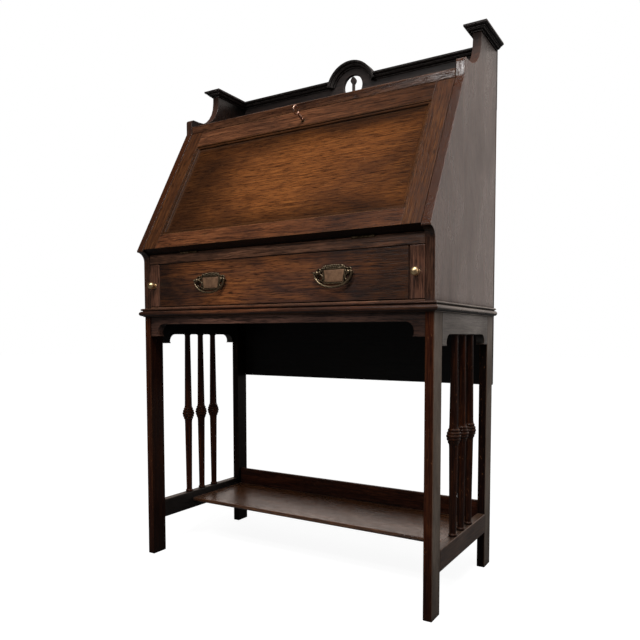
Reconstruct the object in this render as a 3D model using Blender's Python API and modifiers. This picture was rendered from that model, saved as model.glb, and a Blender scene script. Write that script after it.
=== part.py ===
"""A fall-front writing bureau of stained oak on an open stand.

The model is in metres with +Z up. X runs along the front, +Y goes to the back and the
origin lies on the floor under the middle of the bureau's box.
"""

import math

import bmesh
import bpy
from mathutils import Vector

# Overall sizes of the stand and the case
WIDTH = 0.760
END_DEPTH = 0.364
END_THICKNESS = 0.019
STAND_HEIGHT = 0.600
GAP = 0.0003
EASED_EDGE = 0.0012

# Stand
LEG_DEPTH = 0.040
STRETCHER_BOTTOM = 0.084
STRETCHER_HEIGHT = 0.044
SIDE_APRON_HEIGHT = 0.053
FRONT_APRON_HEIGHT = 0.029
APRON_THICKNESS = 0.017
APRON_SETBACK = 0.002
BRACKET_WIDTH = 0.023
BRACKET_RADIUS = 0.018
SIDE_BRACKET_DROP = 0.0225
FRONT_BRACKET_DROP = 0.029
BRACKET_FOOT = 0.002
SHELF_TOP = 0.112
SHELF_THICKNESS = 0.009
SHELF_FRONT_SETBACK = 0.137
UPSTAND_HEIGHT = 0.043
UPSTAND_THICKNESS = 0.009
UPSTAND_SETBACK = 0.022
KNEEHOLE_BACK_HEIGHT = 0.172

# Turned spindles in the sides of the stand
SPINDLE_COUNT = 3
SPINDLE_PITCH = 0.048
SPINDLE_END_RADIUS = 0.0068
SPINDLE_SWELL_RADIUS = 0.0094
SPINDLE_BALL_RADIUS = 0.0154
SPINDLE_BALL_HALF = 0.0150
SPINDLE_COVE = 0.007
SPINDLE_RINGS = 5
SPINDLE_RING_GROOVE = 0.0012
SPINDLE_FOOT_RING = 0.006
TURNED_STEPS = 12

# Waist moulding that covers the joint between the stand and the case
WAIST_HEIGHT = 0.020
WAIST_LAP = 0.011
WAIST_REACH = 0.010
WAIST_FILLET = 0.002
WAIST_BEAD = 0.005

# Case
DRAWER_OPENING_BOTTOM = 0.0115
BED_RISE = 0.138
FALL_THICKNESS = 0.023
FALL_REST_CLEARANCE = 0.0005
PARTITION_THICKNESS = 0.010
TOP_BOARD_RISE = 0.349
TOP_BOARD_THICKNESS = 0.0195
BACK_THICKNESS = 0.009

# End profile: cove and nose at the writing height, slope, upper nose and hollow neck
NOSE_REACH = 0.0215
NOSE_RISE = 0.0095
NOSE_EDGE = 0.0035
FALL_SLOPE = math.radians(62.0)
UPPER_NOSE_SETBACK = 0.150
UPPER_NOSE_RISE = 0.0195
UPPER_NOSE_RADIUS = 0.008
NECK_SETBACK = 0.2527
NECK_RADIUS = 0.077
NECK_RISE = 0.091
ARC_STEPS = 7

# Cornice: caps on the ends, gallery moulding and the rim of the arch
CORNICE_HEIGHT = 0.0145
CORNICE_REACH = 0.0165
CORNICE_FILLET = 0.0025
CORNICE_COVE_STEPS = 4
ARCH_RADIUS = 0.071
ARCH_CENTRE_DROP = 0.030
ARCH_STEPS = 24
RIM_LAP = 0.0006
PIERCING_RADIUS = 0.028
PIERCING_DROP = 0.0175
PIERCING_STEPS = 32
BUD_HALF_WIDTH = 0.0071
BUD_HEIGHT = 0.021
BUD_TIP_GAP = 0.003
BUD_STEM_WIDTH = 0.0044
BUD_STEPS = 8

# Fall: a frame with a panel, hinged at the front edge of the writing bed
FALL_TOP_CLEARANCE = 0.0012
FALL_SIDE_CLEARANCE = 0.0012
FALL_FOOT_CLEARANCE = 0.001
BED_EDGE_CLEARANCE = 0.0005
STILE_WIDTH = 0.039
TOP_RAIL_WIDTH = 0.048
BOTTOM_RAIL_WIDTH = 0.040
PANEL_BORDER = 0.015
PANEL_RECESS = 0.008
PANEL_FILLET = 0.003
STOP_DEPTH = 0.018
STOP_LIP = 0.020
STOP_CLEARANCE = 0.0014

# Hinges of the fall
HINGE_INSET = 0.1298
HINGE_LENGTH = 0.052
HINGE_LEAF = 0.026
HINGE_LEAF_THICKNESS = 0.002
KNUCKLE_RADIUS = 0.0030
PIN_RADIUS = 0.0013
PIN_CLEARANCE = 0.0004
KNUCKLE_SIDES = 16

# Lock and key
LOCK_WIDTH = 0.050
LOCK_HEIGHT = 0.046
LOCK_DEPTH = 0.012
LOCK_WALL = 0.002
KEY_DISTANCE = 0.034
KEY_RADIUS = 0.0022
KEY_CLEARANCE = 0.0004
KEY_REACH = 0.030
KEY_BIT = 0.0065
KEY_BIT_HEIGHT = 0.0035
KEY_BOW_RADIUS = 0.0085
KEY_BOW_WIRE = 0.0018
KEY_COLLAR_RADIUS = 0.0036
KEY_TAIL = 0.0015
BOLT_WIDTH = 0.020
BOLT_LENGTH = 0.018
BOLT_THICKNESS = 0.005
BOLT_THROW = 0.007
BOLT_CLEARANCE = 0.0005

# Drawer
DRAWER_FRONT_THICKNESS = 0.018
DRAWER_CLEARANCE = 0.0008
DRAWER_SIDE_THICKNESS = 0.009
DRAWER_SIDE_DROP = 0.012
DRAWER_BACK_ROOM = 0.029
DRAWER_BOTTOM_THICKNESS = 0.006
DRAWER_BOTTOM_RISE = 0.004
DRAWER_FRONT_GAP = 0.0012

# Drawer handles
HANDLE_INSET = 0.1635
HANDLE_RISE = 0.001
PLATE_WIDTH = 0.088
PLATE_HEIGHT = 0.042
PLATE_THICKNESS = 0.002
PLATE_SCALLOP = 0.0025
PLATE_SCALLOPS = 5
PLATE_EAR = 0.010
POST_SPACING = 0.073
POST_RADIUS = 0.0042
POST_LENGTH = 0.0095
POST_RISE = 0.006
BAIL_WIRE = 0.0021
BAIL_DROP = 0.029
BAIL_CLEARANCE = 0.0005
BAIL_STEPS = 18

# Lopers
LOPER_WIDTH = 0.0315
LOPER_BACK_ROOM = 0.064
LOPER_CLEARANCE = 0.0008
KNOB_RADIUS = 0.008
KNOB_NECK_RADIUS = 0.0042
KNOB_NECK = 0.002
KNOB_ROSE_RADIUS = 0.0062
KNOB_ROSE = 0.0015

# Pigeonholes
RACK_DEPTH = 0.135
RACK_HEIGHT = 0.170
RACK_BOARD = 0.008
RACK_COMPARTMENTS = 5
RACK_SETBACK = 0.002

# Values that follow from the sizes above
FRONT = (NOSE_REACH - END_DEPTH - GAP - BACK_THICKNESS) / 2.0
BACK = FRONT + END_DEPTH
HALF = WIDTH / 2.0
INSIDE = HALF - END_THICKNESS
SIDE_APRON_EDGE = STAND_HEIGHT - SIDE_APRON_HEIGHT
FRONT_APRON_EDGE = STAND_HEIGHT - FRONT_APRON_HEIGHT
KNEEHOLE_BACK_EDGE = STAND_HEIGHT - KNEEHOLE_BACK_HEIGHT
BED_TOP = STAND_HEIGHT + BED_RISE
NOSE_HEIGHT = BED_TOP + NOSE_RISE
TOP_BOARD_TOP = BED_TOP + TOP_BOARD_RISE
UPPER_NOSE_TOP = TOP_BOARD_TOP + UPPER_NOSE_RISE
END_TOP = UPPER_NOSE_TOP + NECK_RISE
DRAWER_LENGTH = END_DEPTH - DRAWER_BACK_ROOM
LOPER_LENGTH = END_DEPTH - LOPER_BACK_ROOM
BED_BOTTOM = BED_TOP - FALL_THICKNESS - FALL_REST_CLEARANCE
DRAWER_FLOOR = STAND_HEIGHT + GAP + DRAWER_OPENING_BOTTOM
TOP_BOARD_BOTTOM = TOP_BOARD_TOP - TOP_BOARD_THICKNESS
LOPER_INNER = INSIDE - LOPER_CLEARANCE - LOPER_WIDTH
PARTITION_OUTER = LOPER_INNER - LOPER_CLEARANCE
PARTITION_INNER = PARTITION_OUTER - PARTITION_THICKNESS
CORNICE_TOP = END_TOP + GAP + CORNICE_HEIGHT
ARCH_CENTRE = CORNICE_TOP - ARCH_CENTRE_DROP
PIERCING_CENTRE = CORNICE_TOP - PIERCING_DROP
FALL_LINE = FRONT - NOSE_REACH + (BED_TOP - NOSE_HEIGHT) / math.tan(FALL_SLOPE)
HINGE_Y = FALL_LINE + FALL_THICKNESS / math.sin(FALL_SLOPE)
BED_FRONT = HINGE_Y + BED_EDGE_CLEARANCE
FALL_HALF = INSIDE - FALL_SIDE_CLEARANCE
HINGE_OFFSET = FALL_HALF - HINGE_INSET
TOP_EDGE_REACH = math.hypot(FRONT + UPPER_NOSE_SETBACK - HINGE_Y, TOP_BOARD_BOTTOM - BED_TOP)
FALL_LENGTH = math.sqrt((TOP_EDGE_REACH - FALL_TOP_CLEARANCE) ** 2 - FALL_THICKNESS ** 2)
KEY_LEVEL = FALL_LENGTH - KEY_DISTANCE
DRAWER_HALF = LOPER_INNER - DRAWER_FRONT_GAP
HANDLE_OFFSET = DRAWER_HALF - HANDLE_INSET

# Finishes as colour, roughness and metallic value
DARK_OAK = ((0.045, 0.018, 0.010), 0.32, 0.0)
GREY_OAK = ((0.060, 0.040, 0.028), 0.34, 0.0)
GOLDEN_OAK = ((0.130, 0.050, 0.018), 0.30, 0.0)
BLACK_OAK = ((0.012, 0.008, 0.006), 0.36, 0.0)
PLAIN_OAK = ((0.200, 0.110, 0.050), 0.55, 0.0)
BRASS = ((0.620, 0.400, 0.140), 0.28, 1.0)
BRONZE = ((0.160, 0.100, 0.060), 0.42, 1.0)
STEEL = ((0.120, 0.105, 0.095), 0.40, 1.0)


def remove_everything():
    """Remove whatever the open file already holds."""
    for old in list(bpy.data.objects):
        bpy.data.objects.remove(old, do_unlink=True)


def new_collection(name):
    """Add an empty collection to the scene."""
    made = bpy.data.collections.new(name)
    bpy.context.scene.collection.children.link(made)
    return made


remove_everything()
PARTS = new_collection("bureau_desk")
CUTTERS = new_collection("cutters")


def finish_material(name, finish):
    """Give one piece its own material."""
    colour, roughness, metallic = finish
    material = bpy.data.materials.new(name + "_finish")
    material.use_nodes = True
    shader = material.node_tree.nodes["Principled BSDF"]
    shader.inputs["Base Color"].default_value = (*colour, 1.0)
    shader.inputs["Roughness"].default_value = roughness
    shader.inputs["Metallic"].default_value = metallic
    return material


def add_piece(name, mesh, finish, parent=None, location=(0.0, 0.0, 0.0), rotation=(0.0, 0.0, 0.0)):
    """Add a named piece, or a cutter where the finish is None."""
    piece = bpy.data.objects.new(name, mesh)
    piece.location = location
    piece.rotation_euler = rotation
    if parent:
        piece.parent = parent
    if finish:
        PARTS.objects.link(piece)
        mesh.materials.append(finish_material(name, finish))
    else:
        CUTTERS.objects.link(piece)
        piece.hide_render = True
        piece.display_type = "WIRE"
    return piece


def add_axis(name, location, rotation=(0.0, 0.0, 0.0), parent=None):
    """Add an empty that carries a moving body on its joint axis."""
    axis = bpy.data.objects.new(name, None)
    axis.location = location
    axis.rotation_euler = rotation
    if parent:
        axis.parent = parent
    PARTS.objects.link(axis)
    return axis


def ease_edges(piece, width=EASED_EDGE):
    """Round the sharp edges of a piece a little."""
    bevel = piece.modifiers.new("eased edges", "BEVEL")
    bevel.width = width
    bevel.segments = 1
    bevel.limit_method = "ANGLE"
    bevel.angle_limit = math.radians(50.0)
    return piece


def box_mesh(name, size):
    """Make a box around its own origin."""
    mesh = bpy.data.meshes.new(name)
    shape = bmesh.new()
    bmesh.ops.create_cube(shape, size=1.0)
    bmesh.ops.scale(shape, vec=Vector(size), verts=shape.verts)
    shape.to_mesh(mesh)
    shape.free()
    return mesh


def board(name, low, high, finish, parent=None, eased=True):
    """Make a board between two corners, with its origin in its middle."""
    low = Vector(low)
    high = Vector(high)
    piece = add_piece(name, box_mesh(name, high - low), finish, parent, (low + high) / 2.0)
    if finish and eased:
        ease_edges(piece)
    return piece


def cut(piece, cutter):
    """Cut a closed shape out of a piece."""
    boolean = piece.modifiers.new("cut " + cutter.name, "BOOLEAN")
    boolean.operation = "DIFFERENCE"
    boolean.object = cutter


def join(piece, other):
    """Join a closed shape to a piece."""
    boolean = piece.modifiers.new("join " + other.name, "BOOLEAN")
    boolean.operation = "UNION"
    boolean.object = other


def mesh_from_curve(curve):
    """Turn a curve into a welded mesh and drop the curve."""
    holder = bpy.data.objects.new("outline", curve)
    bpy.context.scene.collection.objects.link(holder)
    graph = bpy.context.evaluated_depsgraph_get()
    mesh = bpy.data.meshes.new_from_object(holder.evaluated_get(graph))
    bpy.data.objects.remove(holder, do_unlink=True)
    shape = bmesh.new()
    shape.from_mesh(mesh)
    bmesh.ops.remove_doubles(shape, verts=shape.verts, dist=0.00001)
    bmesh.ops.recalc_face_normals(shape, faces=shape.faces)
    shape.to_mesh(mesh)
    shape.free()
    mesh.materials.clear()
    return mesh


def outline_mesh(name, rings, thickness):
    """Fill closed outlines, the first outer and the rest holes, and give them a thickness."""
    curve = bpy.data.curves.new(name, "CURVE")
    curve.dimensions = "2D"
    curve.fill_mode = "BOTH"
    curve.extrude = thickness / 2.0
    for ring in rings:
        spline = curve.splines.new("POLY")
        spline.points.add(len(ring) - 1)
        spline.use_cyclic_u = True
        for point, (across, up) in zip(spline.points, ring):
            point.co = (across, up, 0.0, 1.0)
    return mesh_from_curve(curve)


def arc(centre, radius, start, end, steps=ARC_STEPS):
    """Points on a circle from one angle in degrees to another, both ends included."""
    turn = [math.radians(start + (end - start) * step / steps) for step in range(steps + 1)]
    return [(centre[0] + radius * math.cos(angle), centre[1] + radius * math.sin(angle)) for angle in turn]


SIDEWAYS = (math.pi / 2.0, 0.0, math.pi / 2.0)
FACING = (math.pi / 2.0, 0.0, 0.0)


def turned_mesh(name, profile, steps=TURNED_STEPS):
    """Turn a profile of radius and height, top to bottom, about the Z axis."""
    mesh = bpy.data.meshes.new(name)
    mesh.from_pydata([(radius, 0.0, height) for radius, height in profile],
                     [(index, index + 1) for index in range(len(profile) - 1)], [])
    holder = bpy.data.objects.new("turning", mesh)
    bpy.context.scene.collection.objects.link(holder)
    screw = holder.modifiers.new("turn", "SCREW")
    screw.steps = steps
    screw.render_steps = steps
    screw.use_merge_vertices = True
    screw.merge_threshold = 0.00001
    graph = bpy.context.evaluated_depsgraph_get()
    turned = bpy.data.meshes.new_from_object(holder.evaluated_get(graph))
    bpy.data.objects.remove(holder, do_unlink=True)
    shape = bmesh.new()
    shape.from_mesh(turned)
    bmesh.ops.remove_doubles(shape, verts=shape.verts, dist=0.00001)
    bmesh.ops.recalc_face_normals(shape, faces=shape.faces)
    shape.to_mesh(turned)
    shape.free()
    turned.shade_smooth()
    turned.set_sharp_from_angle(angle=math.radians(40.0))
    return turned


def rod_mesh(name, radius, length, sides=KNUCKLE_SIDES):
    """Make a round rod along its own Z axis, around its origin."""
    mesh = bpy.data.meshes.new(name)
    shape = bmesh.new()
    bmesh.ops.create_cone(shape, cap_ends=True, segments=sides, radius1=radius, radius2=radius, depth=length)
    shape.to_mesh(mesh)
    shape.free()
    mesh.shade_smooth()
    mesh.set_sharp_from_angle(angle=math.radians(40.0))
    return mesh


def stepped_mesh(name, steps):
    """Extrude a rectangle through a run of levels, each low x, high x, low y, high y and height."""
    shape = bmesh.new()
    bmesh.ops.create_grid(shape, x_segments=1, y_segments=1, size=0.5)
    level = list(shape.verts)
    top = shape.faces[:]
    for index, (low_x, high_x, low_y, high_y, height) in enumerate(steps):
        if index:
            made = bmesh.ops.extrude_face_region(shape, geom=top)["geom"]
            if index > 1:
                bmesh.ops.delete(shape, geom=top, context="FACES_ONLY")
            level = [item for item in made if isinstance(item, bmesh.types.BMVert)]
            top = [item for item in made if isinstance(item, bmesh.types.BMFace)]
        middle = sum((vert.co for vert in level), Vector()) / len(level)
        for vert in level:
            across = high_x if vert.co.x > middle.x else low_x
            along = high_y if vert.co.y > middle.y else low_y
            vert.co = (across, along, height)
    bmesh.ops.recalc_face_normals(shape, faces=shape.faces)
    mesh = bpy.data.meshes.new(name)
    shape.to_mesh(mesh)
    shape.free()
    return mesh


def trim(mesh, point, normal):
    """Cut a mesh with a plane, drop the side the normal points to and close the cut."""
    shape = bmesh.new()
    shape.from_mesh(mesh)
    everything = shape.verts[:] + shape.edges[:] + shape.faces[:]
    bmesh.ops.bisect_plane(shape, geom=everything, dist=0.000001, plane_co=point, plane_no=normal,
                           clear_outer=True)
    rims = [edge for edge in shape.edges if edge.is_boundary]
    bmesh.ops.holes_fill(shape, edges=rims, sides=0)
    bmesh.ops.recalc_face_normals(shape, faces=shape.faces)
    shape.to_mesh(mesh)
    shape.free()
    return mesh


def span(side, inner, outer):
    """Put the nearer and the farther distance from the middle in order for one side."""
    return (inner, outer) if side > 0 else (-outer, -inner)


SIDES = ((-1, "left"), (1, "right"))


def bracketed_outline(low, high, edge, top, drop):
    """Outline of an apron whose lower edge turns down into a hollow bracket at each end."""
    left = low + BRACKET_WIDTH
    right = high - BRACKET_WIDTH
    bottom = edge - drop
    step = bottom + BRACKET_FOOT
    ring = [(low, top), (low, bottom), (left + BRACKET_FOOT, bottom)]
    ring += [(left + BRACKET_FOOT, step), (left, step)]
    ring += arc((left + BRACKET_RADIUS, edge - BRACKET_RADIUS), BRACKET_RADIUS, 180.0, 90.0)
    ring += arc((right - BRACKET_RADIUS, edge - BRACKET_RADIUS), BRACKET_RADIUS, 90.0, 0.0)
    ring += [(right, step), (right - BRACKET_FOOT, step), (right - BRACKET_FOOT, bottom)]
    return ring + [(high, bottom), (high, top)]


def spindle_profile(half):
    """Radius and height of a spindle with a reeded ball in the middle, top to bottom."""
    neck = SPINDLE_SWELL_RADIUS + 2.0 * SPINDLE_RING_GROOVE
    upper = [(0.0, half), (SPINDLE_END_RADIUS, half)]
    for step in range(3):
        share = 1.0 - step / 3.0
        flare = SPINDLE_SWELL_RADIUS + (neck - SPINDLE_SWELL_RADIUS) * (1.0 - share) ** 2
        upper.append((flare, SPINDLE_BALL_HALF + SPINDLE_COVE * share))
    ball = []
    for step in range(2 * SPINDLE_RINGS + 1):
        place = 1.0 - step / SPINDLE_RINGS
        crest = SPINDLE_BALL_RADIUS - (SPINDLE_BALL_RADIUS - neck) * place ** 2
        groove = SPINDLE_RING_GROOVE if step % 2 == 0 else 0.0
        ball.append((crest - groove, SPINDLE_BALL_HALF * place))
    lower = [(radius, -height) for radius, height in reversed(upper[2:])]
    ring_top = -half + SPINDLE_FOOT_RING
    foot = [(SPINDLE_END_RADIUS, ring_top), (SPINDLE_SWELL_RADIUS, ring_top - SPINDLE_FOOT_RING / 4.0)]
    foot.append((SPINDLE_SWELL_RADIUS, -half + SPINDLE_FOOT_RING / 4.0))
    foot += [(SPINDLE_END_RADIUS, -half), (0.0, -half)]
    return upper + ball + lower + foot


def build_stand():
    """Legs, aprons, stretchers, shelf, knee-hole back and spindles."""
    ends = (("front", FRONT, FRONT + LEG_DEPTH), ("back", BACK - LEG_DEPTH, BACK))
    between = (FRONT + LEG_DEPTH + GAP, BACK - LEG_DEPTH - GAP)
    middle = (FRONT + BACK) / 2.0
    stretcher_top = STRETCHER_BOTTOM + STRETCHER_HEIGHT
    for side, label in SIDES:
        low, high = span(side, INSIDE, HALF)
        centre = (low + high) / 2.0
        for end, near, far in ends:
            board(f"leg_{end}_{label}", (low, near, 0.0), (high, far, STAND_HEIGHT), DARK_OAK)
        board(f"side_stretcher_{label}", (low, between[0], STRETCHER_BOTTOM),
              (high, between[1], stretcher_top), DARK_OAK)
        ring = bracketed_outline(*between, SIDE_APRON_EDGE, STAND_HEIGHT, SIDE_BRACKET_DROP)
        apron = outline_mesh("side apron", [ring], END_THICKNESS)
        add_piece(f"side_apron_{label}", apron, DARK_OAK, None, (centre, 0.0, 0.0), SIDEWAYS)
        half = (SIDE_APRON_EDGE - stretcher_top) / 2.0 - GAP
        for number in range(SPINDLE_COUNT):
            offset = (number - (SPINDLE_COUNT - 1) / 2.0) * SPINDLE_PITCH
            place = (centre, middle + offset, stretcher_top + GAP + half)
            spindle = turned_mesh("spindle", spindle_profile(half))
            add_piece(f"spindle_{label}_{number + 1}", spindle, DARK_OAK, None, place)
    reach = INSIDE - GAP
    ring = bracketed_outline(-reach, reach, FRONT_APRON_EDGE, STAND_HEIGHT, FRONT_BRACKET_DROP)
    apron = outline_mesh("front apron", [ring], APRON_THICKNESS)
    apron_place = (0.0, FRONT + APRON_SETBACK + APRON_THICKNESS / 2.0, 0.0)
    add_piece("front_apron", apron, DARK_OAK, None, apron_place, FACING)
    board("kneehole_back", (-HALF, BACK + GAP, KNEEHOLE_BACK_EDGE),
          (HALF, BACK + GAP + BACK_THICKNESS, STAND_HEIGHT), BLACK_OAK)
    upstand_back = BACK - UPSTAND_SETBACK
    upstand_front = upstand_back - UPSTAND_THICKNESS
    shelf_bottom = SHELF_TOP - SHELF_THICKNESS
    board("lower_shelf", (-reach, FRONT + SHELF_FRONT_SETBACK, shelf_bottom),
          (reach, upstand_front - GAP, SHELF_TOP), DARK_OAK)
    board("shelf_upstand", (-reach, upstand_front, shelf_bottom),
          (reach, upstand_back, SHELF_TOP + UPSTAND_HEIGHT), DARK_OAK)


def waist_profile():
    """Section of the waist moulding, outward and up from its lower back corner: fillet, round, quirk, bead."""
    bead_foot = WAIST_HEIGHT - WAIST_BEAD
    nose = bead_foot / 2.0 - WAIST_FILLET
    step = WAIST_REACH - nose
    inner = step - WAIST_FILLET
    fillet = [(0.0, 0.0), (inner, 0.0), (inner, WAIST_FILLET)]
    quirk = [(inner, bead_foot - WAIST_FILLET), (inner, bead_foot)]
    bead = arc((step, bead_foot + WAIST_BEAD / 2.0), WAIST_BEAD / 2.0, -90.0, 90.0)
    return fillet + arc((step, bead_foot / 2.0), nose, -90.0, 90.0) + quirk + bead + [(0.0, WAIST_HEIGHT)]


def build_waist():
    """Three lengths of moulding round the front and sides, mitred at the front corners."""
    seat = HALF + GAP
    bottom = STAND_HEIGHT - WAIST_LAP
    front_mesh = outline_mesh("waist front", [waist_profile()], 2.0 * (seat + WAIST_REACH))
    trim(front_mesh, (0.0, 0.0, seat - GAP), (-1.0, 0.0, 1.0))
    trim(front_mesh, (0.0, 0.0, GAP - seat), (-1.0, 0.0, -1.0))
    add_piece("waist_moulding_front", front_mesh, BLACK_OAK, None, (0.0, FRONT - GAP, bottom),
              (math.pi / 2.0, 0.0, -math.pi / 2.0))
    length = END_DEPTH + GAP + WAIST_REACH
    for side, label in SIDES:
        mesh = outline_mesh("waist side", [waist_profile()], length)
        corner = length / 2.0 - WAIST_REACH
        trim(mesh, (0.0, 0.0, side * (corner - GAP)), (-1.0, 0.0, side))
        turn = 0.0 if side > 0 else math.pi
        place = (side * seat, BACK - length / 2.0, bottom)
        add_piece(f"waist_moulding_{label}", mesh, BLACK_OAK, None, place, (math.pi / 2.0, 0.0, turn))


def end_outline():
    """Side view of an end: cove, nose, slope, upper nose and hollow neck."""
    base = STAND_HEIGHT + GAP
    nose = FRONT - NOSE_REACH
    cove_top = NOSE_HEIGHT - NOSE_EDGE
    upper = FRONT + UPPER_NOSE_SETBACK
    neck = FRONT + NECK_SETBACK
    slope_top = NOSE_HEIGHT + (UPPER_NOSE_SETBACK + NOSE_REACH) * math.tan(FALL_SLOPE)
    ring = [(FRONT, base), (BACK, base), (BACK, END_TOP), (neck, END_TOP)]
    ring += arc((neck - NECK_RADIUS, UPPER_NOSE_TOP + NECK_RADIUS), NECK_RADIUS, 0.0, -90.0)
    nose_centre = (upper + UPPER_NOSE_RADIUS, UPPER_NOSE_TOP - UPPER_NOSE_RADIUS)
    ring += arc(nose_centre, UPPER_NOSE_RADIUS, 90.0, 180.0)
    ring += [(upper, slope_top), (nose, NOSE_HEIGHT)]
    ring += arc((nose, cove_top - NOSE_REACH), NOSE_REACH, 90.0, 0.0)
    return ring


def build_case():
    """Ends and the boards between and behind them."""
    for side, label in SIDES:
        place = (side * (INSIDE + HALF) / 2.0, 0.0, 0.0)
        ease_edges(add_piece(f"end_{label}", outline_mesh("end", [end_outline()], END_THICKNESS), GREY_OAK,
                             None, place, SIDEWAYS))
        inner, outer = span(side, PARTITION_INNER, PARTITION_OUTER)
        near = FRONT + DRAWER_FRONT_THICKNESS + DRAWER_CLEARANCE
        board(f"drawer_partition_{label}", (inner, near, DRAWER_FLOOR + GAP), (outer, BACK, BED_BOTTOM - GAP),
              PLAIN_OAK)
    reach = INSIDE - GAP
    board("bottom_board", (-reach, FRONT, STAND_HEIGHT + GAP), (reach, BACK, DRAWER_FLOOR), DARK_OAK)
    board("writing_bed", (-reach, BED_FRONT, BED_BOTTOM), (reach, BACK, BED_TOP), DARK_OAK)
    board("top_board", (-reach, FRONT + UPPER_NOSE_SETBACK, TOP_BOARD_BOTTOM), (reach, BACK, TOP_BOARD_TOP),
          DARK_OAK)
    board("back_board", (-HALF, BACK + GAP, STAND_HEIGHT + GAP),
          (HALF, BACK + GAP + BACK_THICKNESS, TOP_BOARD_BOTTOM - GAP), BLACK_OAK)


def bud_half_width(share):
    """Half the width of the bud from its foot, 0, to its tip, 1."""
    return max(BUD_STEM_WIDTH / 2.0 * (1.0 - share), BUD_HALF_WIDTH * math.sin(math.pi * share ** 0.9))


def piercing_outline():
    """Outline of the round hole, drawn in at its foot around a bud on a stem."""
    half_stem = math.degrees(math.asin(BUD_STEM_WIDTH / 2.0 / PIERCING_RADIUS))
    ring = arc((0.0, PIERCING_CENTRE), PIERCING_RADIUS, -90.0 + half_stem, 270.0 - half_stem, PIERCING_STEPS)
    tip = PIERCING_CENTRE + PIERCING_RADIUS - BUD_TIP_GAP
    foot = tip - BUD_HEIGHT
    left = []
    for step in range(BUD_STEPS):
        share = step / BUD_STEPS
        left.append((-bud_half_width(share), foot + BUD_HEIGHT * share))
    right = [(-across, up) for across, up in reversed(left)]
    return ring + left + [(0.0, tip)] + right


def gallery_outline():
    """Front view of the gallery board with its arch."""
    spring = math.degrees(math.asin(ARCH_CENTRE_DROP / ARCH_RADIUS))
    ring = [(-HALF, TOP_BOARD_BOTTOM), (HALF, TOP_BOARD_BOTTOM), (HALF, CORNICE_TOP)]
    ring += arc((0.0, ARCH_CENTRE), ARCH_RADIUS, spring, 180.0 - spring, ARCH_STEPS)
    ring.append((-HALF, CORNICE_TOP))
    return ring


def cornice_profile():
    """Section of the cornice, outward and up: a fillet, a hollow and a square upper edge."""
    rise = CORNICE_HEIGHT - 2.0 * CORNICE_FILLET
    run = CORNICE_REACH - CORNICE_FILLET
    section = [(0.0, 0.0), (CORNICE_FILLET, 0.0)]
    for step in range(CORNICE_COVE_STEPS + 1):
        angle = math.pi - math.pi / 2.0 * step / CORNICE_COVE_STEPS
        section.append((CORNICE_REACH + run * math.cos(angle), CORNICE_FILLET + rise * math.sin(angle)))
    return section + [(CORNICE_REACH, CORNICE_HEIGHT), (0.0, CORNICE_HEIGHT)]


def cap_mesh(side):
    """Moulded cap on one end, which swells over the front and both sides."""
    low, high = span(side, INSIDE, HALF)
    front = FRONT + NECK_SETBACK
    section = cornice_profile()[1:-1]
    return stepped_mesh("cap", [(low - out, high + out, front - out, BACK, up) for out, up in section])


def run_mesh(side):
    """Straight length of the gallery moulding from inside the rim to the cap, coped to the cap."""
    start = ARCH_RADIUS - CORNICE_HEIGHT / 2.0
    levels = []
    for out, up in cornice_profile()[1:-1]:
        low, high = span(side, start, INSIDE - out - GAP)
        levels.append((low, high, BACK - out, BACK, up))
    return stepped_mesh("run", levels)


def rim_mesh():
    """Rim of the arch: the cornice's section turned about the arch's centre and cut off at its springing."""
    inner = ARCH_RADIUS - CORNICE_HEIGHT
    section = [(inner + up, out) for out, up in cornice_profile()]
    rim = turned_mesh("rim", section + section[:1], 2 * ARCH_STEPS)
    return trim(rim, (0.0, END_TOP + GAP + RIM_LAP - ARCH_CENTRE, 0.0), (0.0, -1.0, 0.0))


def build_gallery():
    """Gallery board, caps on the ends and the moulding that runs between them over the arch."""
    base = END_TOP + GAP
    mesh = outline_mesh("gallery", [gallery_outline(), piercing_outline()], BACK_THICKNESS)
    add_piece("gallery_board", mesh, BLACK_OAK, None, (0.0, BACK + GAP + BACK_THICKNESS / 2.0, 0.0), FACING)
    springing = (0.0, BACK - RIM_LAP, ARCH_CENTRE)
    moulding = add_piece("gallery_moulding", rim_mesh(), BLACK_OAK, None, springing, FACING)
    for side, label in SIDES:
        add_piece(f"cap_{label}", cap_mesh(side), BLACK_OAK, None, (0.0, 0.0, base))
        join(moulding, add_piece(f"gallery run {label}", run_mesh(side), None, None, (0.0, 0.0, base)))


def fall_point(along, out):
    """Place in the side view of a point along the closed fall and out from its inner face."""
    across = HINGE_Y + along * math.cos(FALL_SLOPE) - out * math.sin(FALL_SLOPE)
    return (across, BED_TOP + along * math.sin(FALL_SLOPE) + out * math.cos(FALL_SLOPE))


def build_stop_rail():
    """Rail under the top board that the fall shuts against."""
    shelf = TOP_BOARD_BOTTOM - GAP
    top = FALL_LENGTH + STOP_CLEARANCE
    feather = (shelf - BED_TOP - top * math.sin(FALL_SLOPE)) / math.cos(FALL_SLOPE)
    heel = (shelf - BED_TOP + STOP_DEPTH * math.cos(FALL_SLOPE)) / math.sin(FALL_SLOPE)
    ring = [fall_point(top, feather), fall_point(top, -GAP), fall_point(FALL_LENGTH - STOP_LIP, -GAP)]
    ring += [fall_point(FALL_LENGTH - STOP_LIP, -STOP_DEPTH), fall_point(heel, -STOP_DEPTH)]
    mesh = outline_mesh("stop", [ring], 2.0 * (INSIDE - GAP))
    return add_piece("fall_stop_rail", mesh, DARK_OAK, None, (0.0, 0.0, 0.0), SIDEWAYS)


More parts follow.
